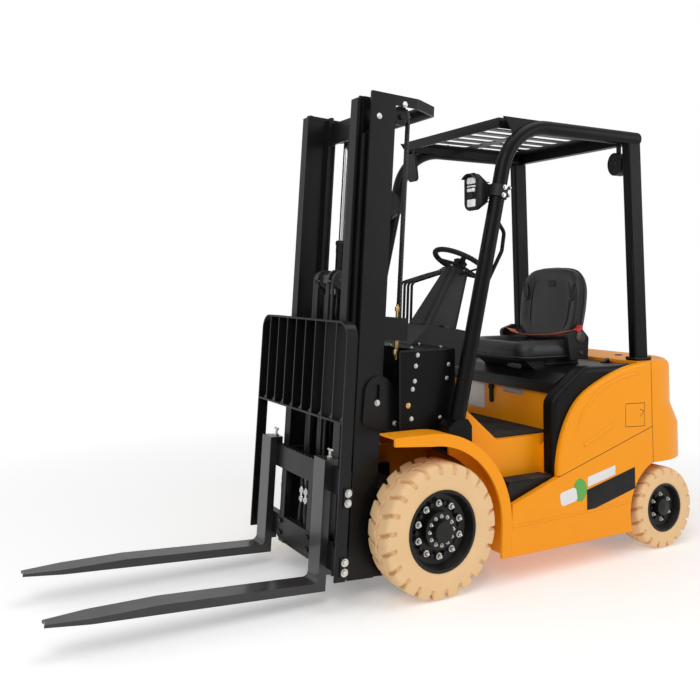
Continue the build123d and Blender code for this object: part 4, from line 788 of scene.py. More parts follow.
@dataclass
class Tyre:
    """A solid lugged tyre on one wheel.

    Attributes:
        name: Piece name.
        body: Body that it rides on.
        node: Frame node that it stands for.
        centre: Wheel centre.
        side: 1 on the left, -1 on the right.
        radius: Radius over the lugs.
        bead: Radius at the rim.
        width: Width over the side walls.
        lugs: Lugs round each shoulder.
        groove: Depth of the tread grooves.
    """

    name: str
    body: Body
    node: str
    centre: np.ndarray
    side: int
    radius: float
    bead: float
    width: float
    lugs: int
    groove: float

    def section(self, count: int) -> tuple:
        """The tyre's outline from one bead over the crown to the other.

        The half outline goes up the side wall, out over the shoulder's curve and
        in along the crown, spaced evenly by length.

        Args:
            count: Number of samples.

        Returns:
            Arrays of place across and of radius.
        """
        h, r, b = self.width / 2, self.radius, self.bead
        side_x = [0.9, 0.97, 1.0, 1.0, 0.985, 0.955, 0.9, 0.78, 0.5, 0.25, 0.0]
        rise = [0.0, 0.08, 0.22, 0.5, 0.74, 0.87, 0.945, 0.985, 0.997, 1.0, 1.0]
        x = np.array(side_x + [-v for v in side_x[-2::-1]]) * h
        y = b + np.array(rise + rise[-2::-1]) * (r - b)
        walk = np.concatenate([[0], np.cumsum(np.hypot(np.diff(x), np.diff(y)))])
        at = np.linspace(0, walk[-1], count)
        return np.interp(at, walk, x), np.interp(at, walk, y)

    def build(self, paint: bpy.types.Material) -> bpy.types.Object:
        """Builds the tyre with its lugs cut into the crown.

        A groove runs from each shoulder to near the middle, slanted and half a
        step apart on the two sides, and a narrow groove wanders round the middle.
        The cut's depth falls away down the side wall, which has two low bands.

        Args:
            paint: The tyre's material.

        Returns:
            The tyre.
        """
        across, radius = self.section(97)
        turns = self.lugs * 22
        t = np.linspace(0, TAU, turns, endpoint=False)[:, None]
        u = (across / (self.width / 2))[None, :]
        phase = t * self.lugs / TAU
        half = np.where(u >= 0, 0.0, 0.5)
        slant = 0.35 * np.abs(u) ** 1.4
        wave = np.abs(((phase + half + slant) % 1.0) - 0.5) * 2
        wide = 0.17 + 0.1 * np.abs(u)
        lateral = np.clip((wave - (1 - wide)) / 0.06, 0, 1) * np.clip((np.abs(u) - 0.16) / 0.08, 0, 1)
        middle = 0.1 * np.sin(TAU * phase)
        centre = np.clip((0.055 - np.abs(u - middle)) / 0.02, 0, 1) * 0.7
        wall = np.clip(((radius - self.bead) / (self.radius - self.bead) - 0.6) / 0.12, 0, 1)[None, :]
        cut = np.maximum(lateral, centre) * wall * self.groove
        drop = radius[None, :] - cut
        squeeze = 1 - 0.075 * lateral * wall * (np.abs(u) > 0.8)
        rise = ((radius - self.bead) / (self.radius - self.bead))[None, :]
        band = (np.abs(rise - 0.3) < 0.035) | (np.abs(rise - 0.62) < 0.02)
        raised = 1 + 0.018 * band * (np.abs(u) > 0.93)
        limit = self.width / 2 / np.maximum(np.abs(across[None, :]), 1e-6)
        x = np.clip(across[None, :] * squeeze * np.minimum(raised, limit), -self.width / 2, self.width / 2)
        grid = np.stack([x, drop * np.cos(t), drop * np.sin(t)], axis=-1)
        bead = np.full((turns, 2), self.bead)
        ends = np.tile([across[-1], across[0]], (turns, 1))
        inner = np.stack([ends, bead * np.cos(t), bead * np.sin(t)], axis=-1)
        whole = np.concatenate([grid, inner], axis=1)
        shell = woven(whole * [self.side, 1, 1] + self.centre, wrap_u=True, wrap_v=True)
        return make(self.name, shell, self.body, paint, smooth=32, replaces=(self.node,))


@dataclass
class WheelTrim:
    """Rings of nuts on one rim.

    Attributes:
        name: Piece name.
        body: Body that it rides on.
        centre: Wheel centre.
        side: 1 on the left, -1 on the right.
        nuts: Rings of nuts: count, ring radius, distance out, width across.
    """

    name: str
    body: Body
    centre: np.ndarray
    side: int
    nuts: tuple

    def build(self, paints: Paints) -> None:
        """Builds the rings of hexagon nuts with their stud ends."""
        base = frame_of(self.centre, [self.side, 0, 0], (0, 0, 1))
        parts = []
        for count, reach, out, wide in self.nuts:
            stud = turned([(wide * 0.26, 0), (wide * 0.26, wide * 0.9), (wide * 0.18, wide)], 10)
            nut = joined([hex_bolt(wide, wide * 0.55, wide * 0.1), stud])
            places = [spin_z(TAU * k / count) @ shift(reach, 0, out) for k in range(count)]
            parts.append(copies(nut, places))
        make(self.name, joined(parts).placed(base), self.body, paints.zinc, smooth=30)


@dataclass
class Wheels:
    """All four wheels.

    Attributes:
        front: Centre of the left front wheel.
        rear: Centre of the left rear wheel.
    """

    front: np.ndarray = field(default_factory=lambda: axle(0.445, 0.0, 0.282))
    rear: np.ndarray = field(default_factory=lambda: axle(0.449, WHEELBASE, 0.198))

    def build(self, paints: Paints) -> None:
        """Builds tyres and trim on both sides."""
        for side, word in ((1, "left"), (-1, "right")):
            mirror = np.array([side, 1, 1])
            ends = (("front", self.front * mirror, FRONT_TYRE, FRONT_NUTS),
                    ("rear", self.rear * mirror, REAR_TYRE, REAR_NUTS))
            for end, centre, sizes, _ in ends:
                body = Body(f"wheel_{end}_{word}")
                tyre = Tyre(f"tread_{end}_{word}", body, f"{end}_tyre_{word}", centre, side, *sizes)
                tyre.build(paints.tyre_cream)
                dress({f"{end}_rim_{word}": paints.rim_black})
            for end, centre, _, nuts in ends:
                body = Body(f"wheel_{end}_{word}")
                WheelTrim(f"nuts_{end}_{word}", body, centre, side, nuts).build(paints)


# Small parts that several sub-assemblies use


def bolts(places: list, direction: tuple, across: float = 0.016, height: float = 0.009) -> Shell:
    """Hexagon bolts with washers on a face.

    Args:
        places: Points on the face.
        direction: The face's outward normal.
        across: Width over the head's corners.
        height: Height of the head.

    Returns:
        One shell with all the bolts.
    """
    return joined(
        [
            hex_bolt(across, height, 0.002).placed(frame_of(np.asarray(p), direction, (0, 0.1, 1)))
            for p in places])


def pipe(points: list, radius: float, count: int = 60, sides: int = 12) -> Shell:
    """A round pipe through points, smoothed between them."""
    path = smooth_path(points, count)
    return carried(circle(radius, sides), path, (0.31, 0.87, 0.11))


def rod_between(low: tuple, high: tuple, radius: float, sides: int = 24) -> Shell:
    """A straight cylinder between two points, with small chamfers."""
    a, b = np.asarray(low, float), np.asarray(high, float)
    length = float(np.linalg.norm(b - a))
    rim = min(radius * 0.2, 0.002)
    profile = [(radius - rim, 0), (radius, rim), (radius, length - rim), (radius - rim, length)]
    return turned(profile, sides).placed(frame_of(a, b - a))


def pad(size: tuple, depth: float, edge: float, matrix: np.ndarray) -> Shell:
    """A soft-edged rectangular plate standing on the foot of a matrix.

    Args:
        size: Width, height and corner radius, as round_box takes them.
        depth: Height over the face.
        edge: Radius of the upper rim.
        matrix: Frame of the face.

    Returns:
        The plate.
    """
    return soft_slab(round_box(*size), depth, edge).placed(matrix)


def hoop(outline: np.ndarray, height: float, radius: float, sides: int = 8) -> Shell:
    """A round cord laid along a closed outline at a height in local z."""
    path = np.column_stack([outline, np.full(len(outline), height)])
    return carried(circle(radius, sides), path, (0, 0, 1), closed=True)


def strip(points: list, width: float, depth: float, up: tuple, count: int = 40) -> Shell:
    """A low rounded strip along a path on a face whose normal is up."""
    t = np.linspace(0, math.pi, 7)
    section = np.column_stack([np.cos(t) * width / 2, np.sin(t) * depth])
    return carried(section, smooth_path(points, count), up)


def side_points(rows: list, x: float) -> list:
    """Points on a side of the body, given by length and height in millimetres."""
    return [axle(x, y / 1000, z / 1000) for y, z in rows]


def axles(*rows: tuple) -> list:
    """Several places whose lengths are given from the front axle."""
    return [axle(*row) for row in rows]


# Chains


@dataclass
class ChainRun:
    """One pair of leaf chains between two bodies of the mast.

    Attributes:
        node: Frame node that the links stand for.
        lower: Body at the low end; not used.
        upper: Body at the high end; not used.
        x: Distance of each chain from the middle.
        y: Place along the truck, mast upright.
        low: Height of the low end.
        high: Height of the high end.
        pitch: Distance between link pins.
    """

    node: str
    lower: Body
    upper: Body
    x: float
    y: float
    low: float
    high: float
    pitch: float = 0.0191

    def link(self) -> Shell:
        """One pitch of the chain: a pin and two rows of waisted plates.

        A plate's half width is w (0.8 + 0.2 cos 2a) along its length angle a.
        """
        a = np.linspace(0, TAU, 14, endpoint=False)
        waist = 0.0082 * (0.8 + 0.2 * np.cos(2 * a))
        outline = np.column_stack([np.cos(a) * (self.pitch * 0.5 + 0.003), np.sin(a) * waist])
        parts = []
        for offset, lift in ((-0.0126, 0.0), (-0.0062, 0.5), (0.0026, 0.5), (0.009, 0.0)):
            blade = slab(outline, 0.004).placed(
                frame_of(np.array([offset, 0, lift * self.pitch]), (1, 0, 0), (0, 0, 1)))
            parts.append(blade)
        parts += [
            rod_between((-0.0145, 0, z), (0.0145, 0, z), 0.0036, 8) for z in (-self.pitch / 4, self.pitch / 4)
        ]
        return joined(parts)

    def build(self, paint: bpy.types.Material) -> None:
        """Repeats the link up both runs."""
        count = int((self.high - self.low) / self.pitch)
        link = self.link()
        places = [
            shift(side * self.x, self.y, self.low + (k + 0.5) * self.pitch) for side in SIDES
            for k in range(count)]
        piece = make(
            "links_" + self.node, copies(link, places).leaned(), None, paint, smooth=40,
            replaces=(self.node,))
        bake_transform(piece)


@dataclass
class Chains:
    """The leaf chains of the middle mast and of the free lift."""

    def build(self, p: Paints) -> None:
        """Builds the four straight runs, their anchors and the wraps round the sheaves.

        Args:
            p: The finishes.
        """
        for run in (
            ChainRun("mast_chain_front", Body.INNER, Body.MIDDLE, MAST_CHAIN_X, -0.206, 0.179, 2.066),
            ChainRun("mast_chain_rear", Body.MAST, Body.MIDDLE, MAST_CHAIN_X, -0.12, 1.142, 2.066),
            ChainRun("carriage_chain_front", Body.CARRIAGE, Body.RAM, FREE_CHAIN_X, -0.365, 0.493, 1.313),
            ChainRun("carriage_chain_rear", Body.INNER, Body.RAM, FREE_CHAIN_X, -0.279, 0.342, 1.313)):
            run.build(p.chain_steel)
        self.anchors(p)
        self.wraps(p)

    def anchors(self, p: Paints) -> None:
        """Threaded anchor bolts with nuts under each chain's fixed end."""
        fixed = (("outer", Body.MAST, MAST_CHAIN_X, -0.12, 1.084, 0.11),
                 ("inner", Body.INNER, MAST_CHAIN_X, -0.206, 0.15, 0.05),
                 ("carriage", Body.CARRIAGE, FREE_CHAIN_X, -0.365, 0.447, 0.075),
                 ("free", Body.INNER, FREE_CHAIN_X, -0.282, 0.3, 0.06))
        for name, body, x, y, top, drop in fixed:
            parts = []
            for side in SIDES:
                parts.append(rod_between((side * x, y, top - drop), (side * x, y, top + 0.004), 0.0065, 14))
                parts += [
                    hex_bolt(0.022, 0.01).placed(shift(side * x, y, z)) for z in (top - 0.013, top - 0.026)]
            add("chain_anchor_" + name, parts, body, p.zinc if name != "outer" else p.brass, 30)

    def wraps(self, p: Paints) -> None:
        """Link plates round the upper half of each sheave: x = R cos t, z = R sin t."""
        sheaves = (("mast", Body.MIDDLE, MAST_CHAIN_X, -0.163, 2.068),
                   ("free", Body.RAM, FREE_CHAIN_X, FREE_Y, 1.315))
        for name, body, x, y, z in sheaves:
            parts = []
            for side in SIDES:
                for k in range(9):
                    t = math.pi * (k + 0.5) / 9
                    blade = slab(round_box(0.0165, 0.015, 0.007, 3), 0.024)
                    at = np.array([side * x - 0.012, y + 0.0432 * math.cos(t), z + 0.0432 * math.sin(t)])
                    parts.append(blade.placed(frame_of(at, (1, 0, 0), (0, -math.sin(t), math.cos(t)))))
            add("chain_wrap_" + name, parts, body, p.chain_steel, 30)


# Seat


@dataclass
class Seat:
    """Cushion, back, belt and the parts round them.

    Attributes:
        front: Front of the cushion from the front axle.
        rear: Rear of the cushion.
        low: Underside of the cushion.
        top: Top of its bolsters.
        half: Half its width.
        lean: Lean of the back in degrees.
    """

    front: float = 0.69
    rear: float = 1.12
    low: float = 0.926
    top: float = 1.03
    half: float = 0.245
    lean: float = 9.0

    def build(self, p: Paints) -> None:
        """Builds every piece of the seat.

        Args:
            p: The finishes.
        """
        self.cushion(p)
        self.backrest(p)
        self.belt(p)
        self.sides(p)

    def cushion(self, p: Paints) -> None:
        """A thick pad: rings shrink from the rim, and the sitting place dips between bolsters.

        A point's dip is d (1 - s(|x|)) where s rises smoothly from 0.52 to 0.8
        of the half width.
        """
        outline = round_box(2 * self.half, self.rear - self.front, 0.085, 12)
        middle = (self.front + self.rear) / 2
        height = self.top - self.low
        profile = [
            (0.88, 0.0), (0.95, 0.06), (0.99, 0.2), (1.0, 0.4), (0.99, 0.6), (0.962, 0.78), (0.915, 0.91),
            (0.855, 0.98), (0.79, 1.0), (0.71, 0.995), (0.62, 0.985), (0.5, 0.975), (0.36, 0.97), (0.2, 0.97),
            (0.02, 0.97)]
        rows = []
        for scale, rise in profile:
            flat = outline * [scale, 1 - (1 - scale) * 1.15 if scale > 0.5 else scale]
            over = np.clip((np.abs(flat[:, 0]) / self.half - 0.52) / 0.28, 0, 1)
            bump = over * over * (3 - 2 * over)
            back = np.clip((flat[:, 1] / (self.rear - self.front) + 0.5), 0, 1)
            dip = 0.03 * (1 - bump) * np.clip((rise - 0.85) / 0.12, 0, 1) * np.clip(back * 4 - 0.15, 0, 1)
            rows.append(
                np.column_stack([flat[:, 0], flat[:, 1] + middle + AXLE_Y, self.low + height * rise - dip]))
        shell = woven(np.stack(rows), wrap_v=True, caps=True)
        piece = make(
            "cushion_pad", shell, Body.HOOD, p.seat_vinyl, smooth=60, rounds=1,
            replaces=("seat_cushion",))
        seams = []
        for side in SIDES:
            rail = [
                (side * 0.15, y, self.top - 0.0145)
                for y in np.linspace(self.front + 0.07, self.rear - 0.03, 9)]
            seams.append(strip(axles(*rail), 0.006, 0.004, (0, 0, 1)))
        for y in (self.front + 0.1, self.front + 0.27):
            bow = [
                (x, y - 0.02 * math.cos(x / 0.15 * math.pi / 2), self.top - 0.0255)
                for x in np.linspace(-0.15, 0.15, 9)]
            seams.append(strip(axles(*bow), 0.005, 0.003, (0, 0, 1)))
        seams.append(hoop(outline * 1.004 + [0, middle + AXLE_Y], self.low + 0.022, 0.0045))
        add("cushion_piping", seams, Body.HOOD, p.piping, 60)

    def rest_frame(self) -> np.ndarray:
        """Frame on the back's front face: x to the left, y up along it, z out to the front."""
        a = math.radians(self.lean)
        return frame_of(axle(0, 1.045, self.top - 0.012), (0, -math.cos(a), math.sin(a)))

    def outline(self) -> np.ndarray:
        """The back's outline: straight low edge, wide shoulders and a low crown."""
        half = [
            (0.168, 0.004, 0), (0.215, 0.06, 0), (0.228, 0.14, 0), (0.231, 0.22, 0), (0.222, 0.3, 0),
            (0.185, 0.362, 0), (0.12, 0.388, 0), (0.0, 0.395, 0)]
        side = smooth_path(half, 26)[:, :2]
        low = np.column_stack([np.linspace(-0.168, 0.168, 10)[1:-1], np.full(8, 0.0)])
        return np.concatenate([side[:-1], side[::-1] * [-1, 1], low])

    def backrest(self, p: Paints) -> None:
        """The back: rings over its rear shell, round the rim and in over bolsters to a hollow."""
        edge = self.outline()
        centre = np.array([0.0, 0.19])
        profile = [
            (0.02, 0.08), (0.45, 0.084), (0.82, 0.082), (0.95, 0.074), (0.992, 0.06), (1.0, 0.04),
            (0.992, 0.02), (0.965, 0.007), (0.92, 0.001), (0.87, 0.0), (0.8, 0.004), (0.71, 0.014),
            (0.6, 0.02), (0.45, 0.021), (0.25, 0.021), (0.02, 0.021)]
        rows = [
            np.column_stack([centre + (edge - centre) * scale, np.full(len(edge), -depth)])
            for scale, depth in profile]
        base = self.rest_frame()
        shell = woven(np.stack(rows), wrap_v=True, caps=True).placed(base)
        piece = make(
            "back_pad", shell, Body.HOOD, p.seat_vinyl, smooth=60, rounds=1, replaces=("seat_back",))
        parts = [hoop(centre + (edge - centre) * 1.002, -0.042, 0.0045),
                 hoop(centre + (edge - centre) * [0.64, 0.8], -0.0135, 0.0028)]
        t = np.linspace(0, TAU, 28, endpoint=False)
        for side in SIDES:
            across = side * 0.186 + 0.017 * np.cos(t) + side * 0.01 * np.sin(t)
            parts.append(hoop(np.column_stack([across, 0.262 + 0.048 * np.sin(t)]), -0.0005, 0.0038))
        add("back_piping", [q.placed(base) for q in parts], Body.HOOD, p.piping, 60)
        hollows = [
            slab(round_box(0.026, 0.08, 0.013), 0.0012).placed(base @ shift(side * 0.186, 0.262, -0.0005))
            for side in SIDES]
        patch = [pad((0.06, 0.052, 0.01), 0.003, 0.002, base @ shift(0, 0.315, -0.0195))]
        add("back_hollows", hollows + patch, Body.HOOD, p.plastic_black)

    def belt(self, p: Paints) -> None:
        """The lap belt across the cushion, its tongue and the red buckle."""
        run = [
            (-0.246, 1.03, 1.06), (-0.215, 1.0, 1.062), (-0.14, 0.975, 1.046), (-0.05, 0.965, 1.04),
            (0.05, 0.965, 1.04), (0.14, 0.975, 1.048), (0.21, 1.0, 1.064), (0.248, 1.04, 1.08)]
        right = [(0.024, -0.0012), (0.0246, 0), (0.024, 0.0012)]
        section = np.array([(-0.024, -0.0012)] + right + [(-0.024, 0.0012), (-0.0246, 0)])
        band = carried(section, smooth_path(axles(*run), 60), (0, 0.25, 0.97))
        make("belt", band, Body.HOOD, p.belt_web, smooth=50, replaces=("seat_belt",))
        base = frame_of(axle(0.258, 1.05, 1.078), (0.15, -0.45, 0.88), (1, 0.2, 0))
        buckle = joined(
            [
                soft_slab(round_box(0.03, 0.052, 0.007), 0.016, 0.005),
                pad((0.022, 0.016, 0.004), 0.019, 0.002, shift(0, 0.014, 0))])
        add("buckle", [buckle.placed(base)], Body.HOOD, p.belt_red)

    def sides(self, p: Paints) -> None:
        """Hip restraint bolts, the slide rails and the slide lever."""
        parts = []
        for side in SIDES:
            parts.append(
                bolts(
                    [axle(side * 0.2695, 1.055, 0.962), axle(side * 0.2695, 1.045, 1.035)], (side, 0, 0),
                    0.018, 0.006))
            parts.append(
                turned([(0.03, 0), (0.03, 0.004), (0.026, 0.006)], 32).placed(
                    frame_of(axle(side * 0.2693, 1.05, 1.045), (side, 0, 0))))
        add("restraint_bolts", parts, Body.HOOD, p.dark_steel, 30)
        rails = [
            pad((0.03, 0.3, 0.004), 0.012, 0.002, frame_of(axle(side * 0.15, 0.93, 0.914), (0, 0, 1)))
            for side in SIDES]
        lever = pipe(
            axles((0.15, 0.8, 0.915), (0.15, 0.72, 0.914), (0.158, 0.668, 0.912), (0.2, 0.655, 0.912)), 0.006,
            30)
        grip = rod_between(axle(0.19, 0.657, 0.912), axle(0.262, 0.65, 0.913), 0.012)
        bellows = [hoop(round_box(0.4, 0.27, 0.05, 6) + [0, 0.975 + AXLE_Y], z, 0.01) for z in (0.906, 0.919)]
        add("seat_rails", rails + [lever, grip] + bellows, Body.HOOD, p.plastic_black)


# Lamps and controls


@dataclass
class Lamps:
    """Lenses, rims and clamp bolts of the work lamps, and the rear lamps.

    Attributes:
        leg_y: Length of the guard's front legs from the front axle, at the lamps.
        height: Height of the work lamps' centres.
    """

    leg_y: float = 0.3742
    height: float = 1.742

    def build(self, p: Paints) -> None:
        """Builds the lamp details on both legs and at the rear.

        Args:
            p: The finishes.
        """
        lenses, rims, clamps = [], [], []
        for side in SIDES:
            face = frame_of(axle(side * 0.383, self.leg_y - 0.106, self.height), (0, -1, 0))
            for z, wide, tall in ((0.052, 0.062, 0.03), (0.015, 0.062, 0.03), (-0.052, 0.06, 0.036)):
                lenses.append(pad((wide, tall, 0.007), 0.004, 0.0025, face @ shift(0, z, 0)))
                rims.append(hoop(round_box(wide + 0.006, tall + 0.006, 0.009), 0.002, 0.0028).placed(face))
            rims.append(
                turned(
                    [(0.013, 0), (0.016, 0.002), (0.016, 0.006), (0.01, 0.007)], 28
                ).placed(face @ shift(0, -0.018, 0)))
            rims.append(hoop(round_box(0.093, 0.165, 0.033, 8), 0.0, 0.0052).placed(face))
            visor = np.array(
                [(x, 0.082 - 0.022 * (x / 0.045) ** 2, 0.0) for x in np.linspace(-0.045, 0.045, 12)])
            sheet = np.array([(-0.0015, 0), (0.0015, 0), (0.0015, 0.024), (-0.0015, 0.024)])
            rims.append(carried(sheet, visor, (0, 0, 1)).placed(face))
            for z in np.linspace(-0.045, 0.045, 7):
                back = frame_of(axle(side * 0.383, self.leg_y - 0.04, self.height + z), (0, 1, 0))
                rims.append(slab(round_box(0.074, 0.004, 0.001, 2), 0.012).placed(back))
            for z in (-0.018, 0.018):
                y = self.leg_y + z * 0.237
                clamps.append(bolts([axle(side * 0.4885, y, self.height + z)], (side, 0, 0), 0.017, 0.008))
                clamps.append(
                    bolts([axle(side * 0.47, y + 0.04, self.height + z)], (side * 0.3, 1, 0), 0.015, 0.008))
        add("lamp_windows", lenses, Body.TRUCK, p.lens_clear)
        add("lamp_rims", rims, Body.TRUCK, p.plastic_black)
        add("lamp_bolts", clamps, Body.TRUCK, p.zinc, 30)
        self.rear(p)

    def rear(self, p: Paints) -> None:
        """The round lamp under the rear beam and the lamps in the counterweight."""
        base = frame_of(axle(0.359, 1.272, 1.942), (0, 1, 0))
        t = np.linspace(0, TAU, 36, endpoint=False)
        oval = np.column_stack([0.041 * np.cos(t), 0.054 * np.sin(t)])
        add("rear_lens", [soft_slab(oval, 0.008, 0.006).placed(base)], Body.TRUCK, p.lens_red, 50)
        front = frame_of(axle(0.359, 1.2195, 1.942), (0, -1, 0))
        ribs = [hoop(oval * scale, 0.0, 0.0025, 6).placed(front) for scale in (1.0, 0.72, 0.44)]
        add("rear_lamp_ribs", ribs, Body.TRUCK, p.plastic_black, 50)
        for name, x, wide, paint in (("stop", 0.15, 0.07, p.lens_red), ("turn", 0.082, 0.05, p.lens_amber)):
            parts = [
                pad((wide, 0.046, 0.01), 0.01, 0.006, frame_of(axle(side * x, 1.604, 0.846), (0, 1, 0)))
                for side in SIDES]
            add("tail_" + name, parts, Body.TRUCK, paint, 50)
        backs = [
            pad((0.158, 0.062, 0.014), 0.004, 0.002, frame_of(axle(side * 0.122, 1.6036, 0.846), (0, 1, 0)))
            for side in SIDES]
        add("tail_backs", backs, Body.TRUCK, p.plastic_black)


@dataclass
class Controls:
    """Ribs of the steering wheel, mat and pedals, the display, switches, stalks and boots."""

    def build(self, p: Paints) -> None:
        """Builds the driver's controls.

        Args:
            p: The finishes.
        """
        self.hand_wheel(p)
        self.panel(p)
        self.floor(p)

    def hand_wheel(self, p: Paints) -> None:
        """Grip ribs on the rim, the hub's cap and a ring."""
        run = unit(np.array([0, 0.162, 0.293]))
        hub = frame_of(axle(0, 0.4874, 1.4239), run)
        cap = turned(
            [(0.03, 0), (0.031, 0.003), (0.024, 0.009), (0.006, 0.012)], 36).placed(hub @ shift(0, 0, 0.006))
        trim = ring(0.0335, 0.003, 40, 8).placed(hub @ shift(0, 0, 0.004))
        bars = [
            ring(0.0132, 0.0011, 16, 6).placed(
                frame_of(
                    (hub @ np.array([0.139 * math.cos(a), 0.139 * math.sin(a), 0, 1]))[:3],
                    hub[:3, :3] @ np.array([-math.sin(a), math.cos(a), 0]), (0.3, 0.5, 0.8)))
            for a in np.linspace(0, TAU, 48, endpoint=False)]
        add("wheel_trim", [cap, trim] + bars, Body.HAND_WHEEL, p.plastic_black)

    def panel(self, p: Paints) -> None:
        """Display and switches on the cover, the direction lever, and collars under the lever knobs."""
        up = unit(np.array([0, 0.1932, 1.0]))

        def on_cover(x: float, y: float) -> np.ndarray:
            return frame_of(axle(x, y, 1.12 - (y - 0.21) * 0.1932 + 0.0002), up)

        screen = on_cover(0.0, 0.448)
        rim = pad((0.15, 0.074, 0.012), 0.01, 0.004, screen)
        glass = pad((0.124, 0.052, 0.004), 0.0022, 0.001, screen @ shift(0, 0, 0.0095))
        add("display_rim", [rim], Body.TRUCK, p.plastic_black)
        add("display_glass", [glass], Body.TRUCK, p.screen)
        keys = [
            pad((0.02, 0.014, 0.003), 0.007, 0.003, on_cover(x, y)) for x in (-0.104, 0.104)
            for y in (0.43, 0.456, 0.4, 0.37)]
        stop = turned([(0.016, 0), (0.016, 0.012), (0.012, 0.016)], 28).placed(on_cover(0.104, 0.32))
        add("switches", keys, Body.TRUCK, p.piping)
        add("key_switch", [stop], Body.TRUCK, p.piping)
        stalk = pipe(
            axles((0.03, 0.452, 1.36), (0.085, 0.462, 1.375), (0.15, 0.486, 1.392), (0.185, 0.5, 1.398)),
            0.0055, 30)
        tip = rod_between(axle(0.172, 0.494, 1.396), axle(0.218, 0.512, 1.402), 0.01)
        far = pipe(axles((-0.03, 0.452, 1.36), (-0.085, 0.462, 1.372), (-0.14, 0.482, 1.384)), 0.0055, 30)
        end = rod_between(axle(-0.128, 0.478, 1.382), axle(-0.176, 0.494, 1.39), 0.01)
        add("stalks", [stalk, tip, far, end], Body.TRUCK, p.plastic_black)
        collars, boots = [], []
        for k in range(4):
            x = -0.15 - 0.034 * k
            run = unit(np.array([0, 0.114, 0.026]))
            collars.append(
                turned(
                    [(0.0085, 0), (0.0115, 0.003), (0.0115, 0.012), (0.0085, 0.015)], 20
                ).placed(frame_of(axle(x, 0.53, 1.3835), run)))
            for step in range(4):
                boots.append(
                    ring(0.0145 - 0.0014 * step, 0.004, 24, 8).placed(
                        shift(*axle(x, 0.281 + 0.001 * step, 1.084 + 0.007 * step))))
        add("lever_collars", collars, Body.TRUCK, p.zinc)
        add("lever_boots", boots, Body.TRUCK, p.rubber_black, 60)

    def floor(self, p: Paints) -> None:
        """Ribs of the mat, the pedals and the steps' treads."""
        ribs = [
            strip([axle(x, y, 0.6112) for y in (0.42, 0.55, 0.73)], 0.01, 0.0022, (0, 0, 1), 6)
            for x in np.linspace(-0.345, 0.345, 24)]
        add("mat_ribs", ribs, Body.TRUCK, p.rubber_black, 50)
        treads, studs = [], []
        for side in SIDES:
            tread = pad(
                (0.088, 0.255, 0.006), 0.0035, 0.0015, frame_of(axle(side * 0.449, 0.5115, 0.4302), (0, 0, 1))
            )
            treads.append(tread)
            for i in range(5):
                for j in range(14):
                    spot = axle(side * (0.415 + 0.017 * i), 0.396 + 0.0178 * j, 0.4335)
                    studs.append(
                        turned([(0.0042, 0), (0.0036, 0.0016), (0.0018, 0.0022)], 8).placed(shift(*spot)))
        add("step_treads", treads + studs, Body.TRUCK, p.rubber_black, 50)
        pads = []
        slope = unit(np.array([0, 171.0, 199.0]))
        for x, wide in ((-0.06, 0.09), (0.15, 0.06)):
            at = axle(x, 0.3, 0.605 + (0.389 - 0.3) * 0.8593) + slope * 0.051
            base = frame_of(at, slope)
            pads += [
                slab(round_box(wide - 0.014, 0.006, 0.002, 2), 0.003).placed(base @ shift(0, y, 0))
                for y in np.linspace(-0.044, 0.044, 8)]
        add("pedal_ribs", pads, Body.TRUCK, p.rubber_black)


# Body details


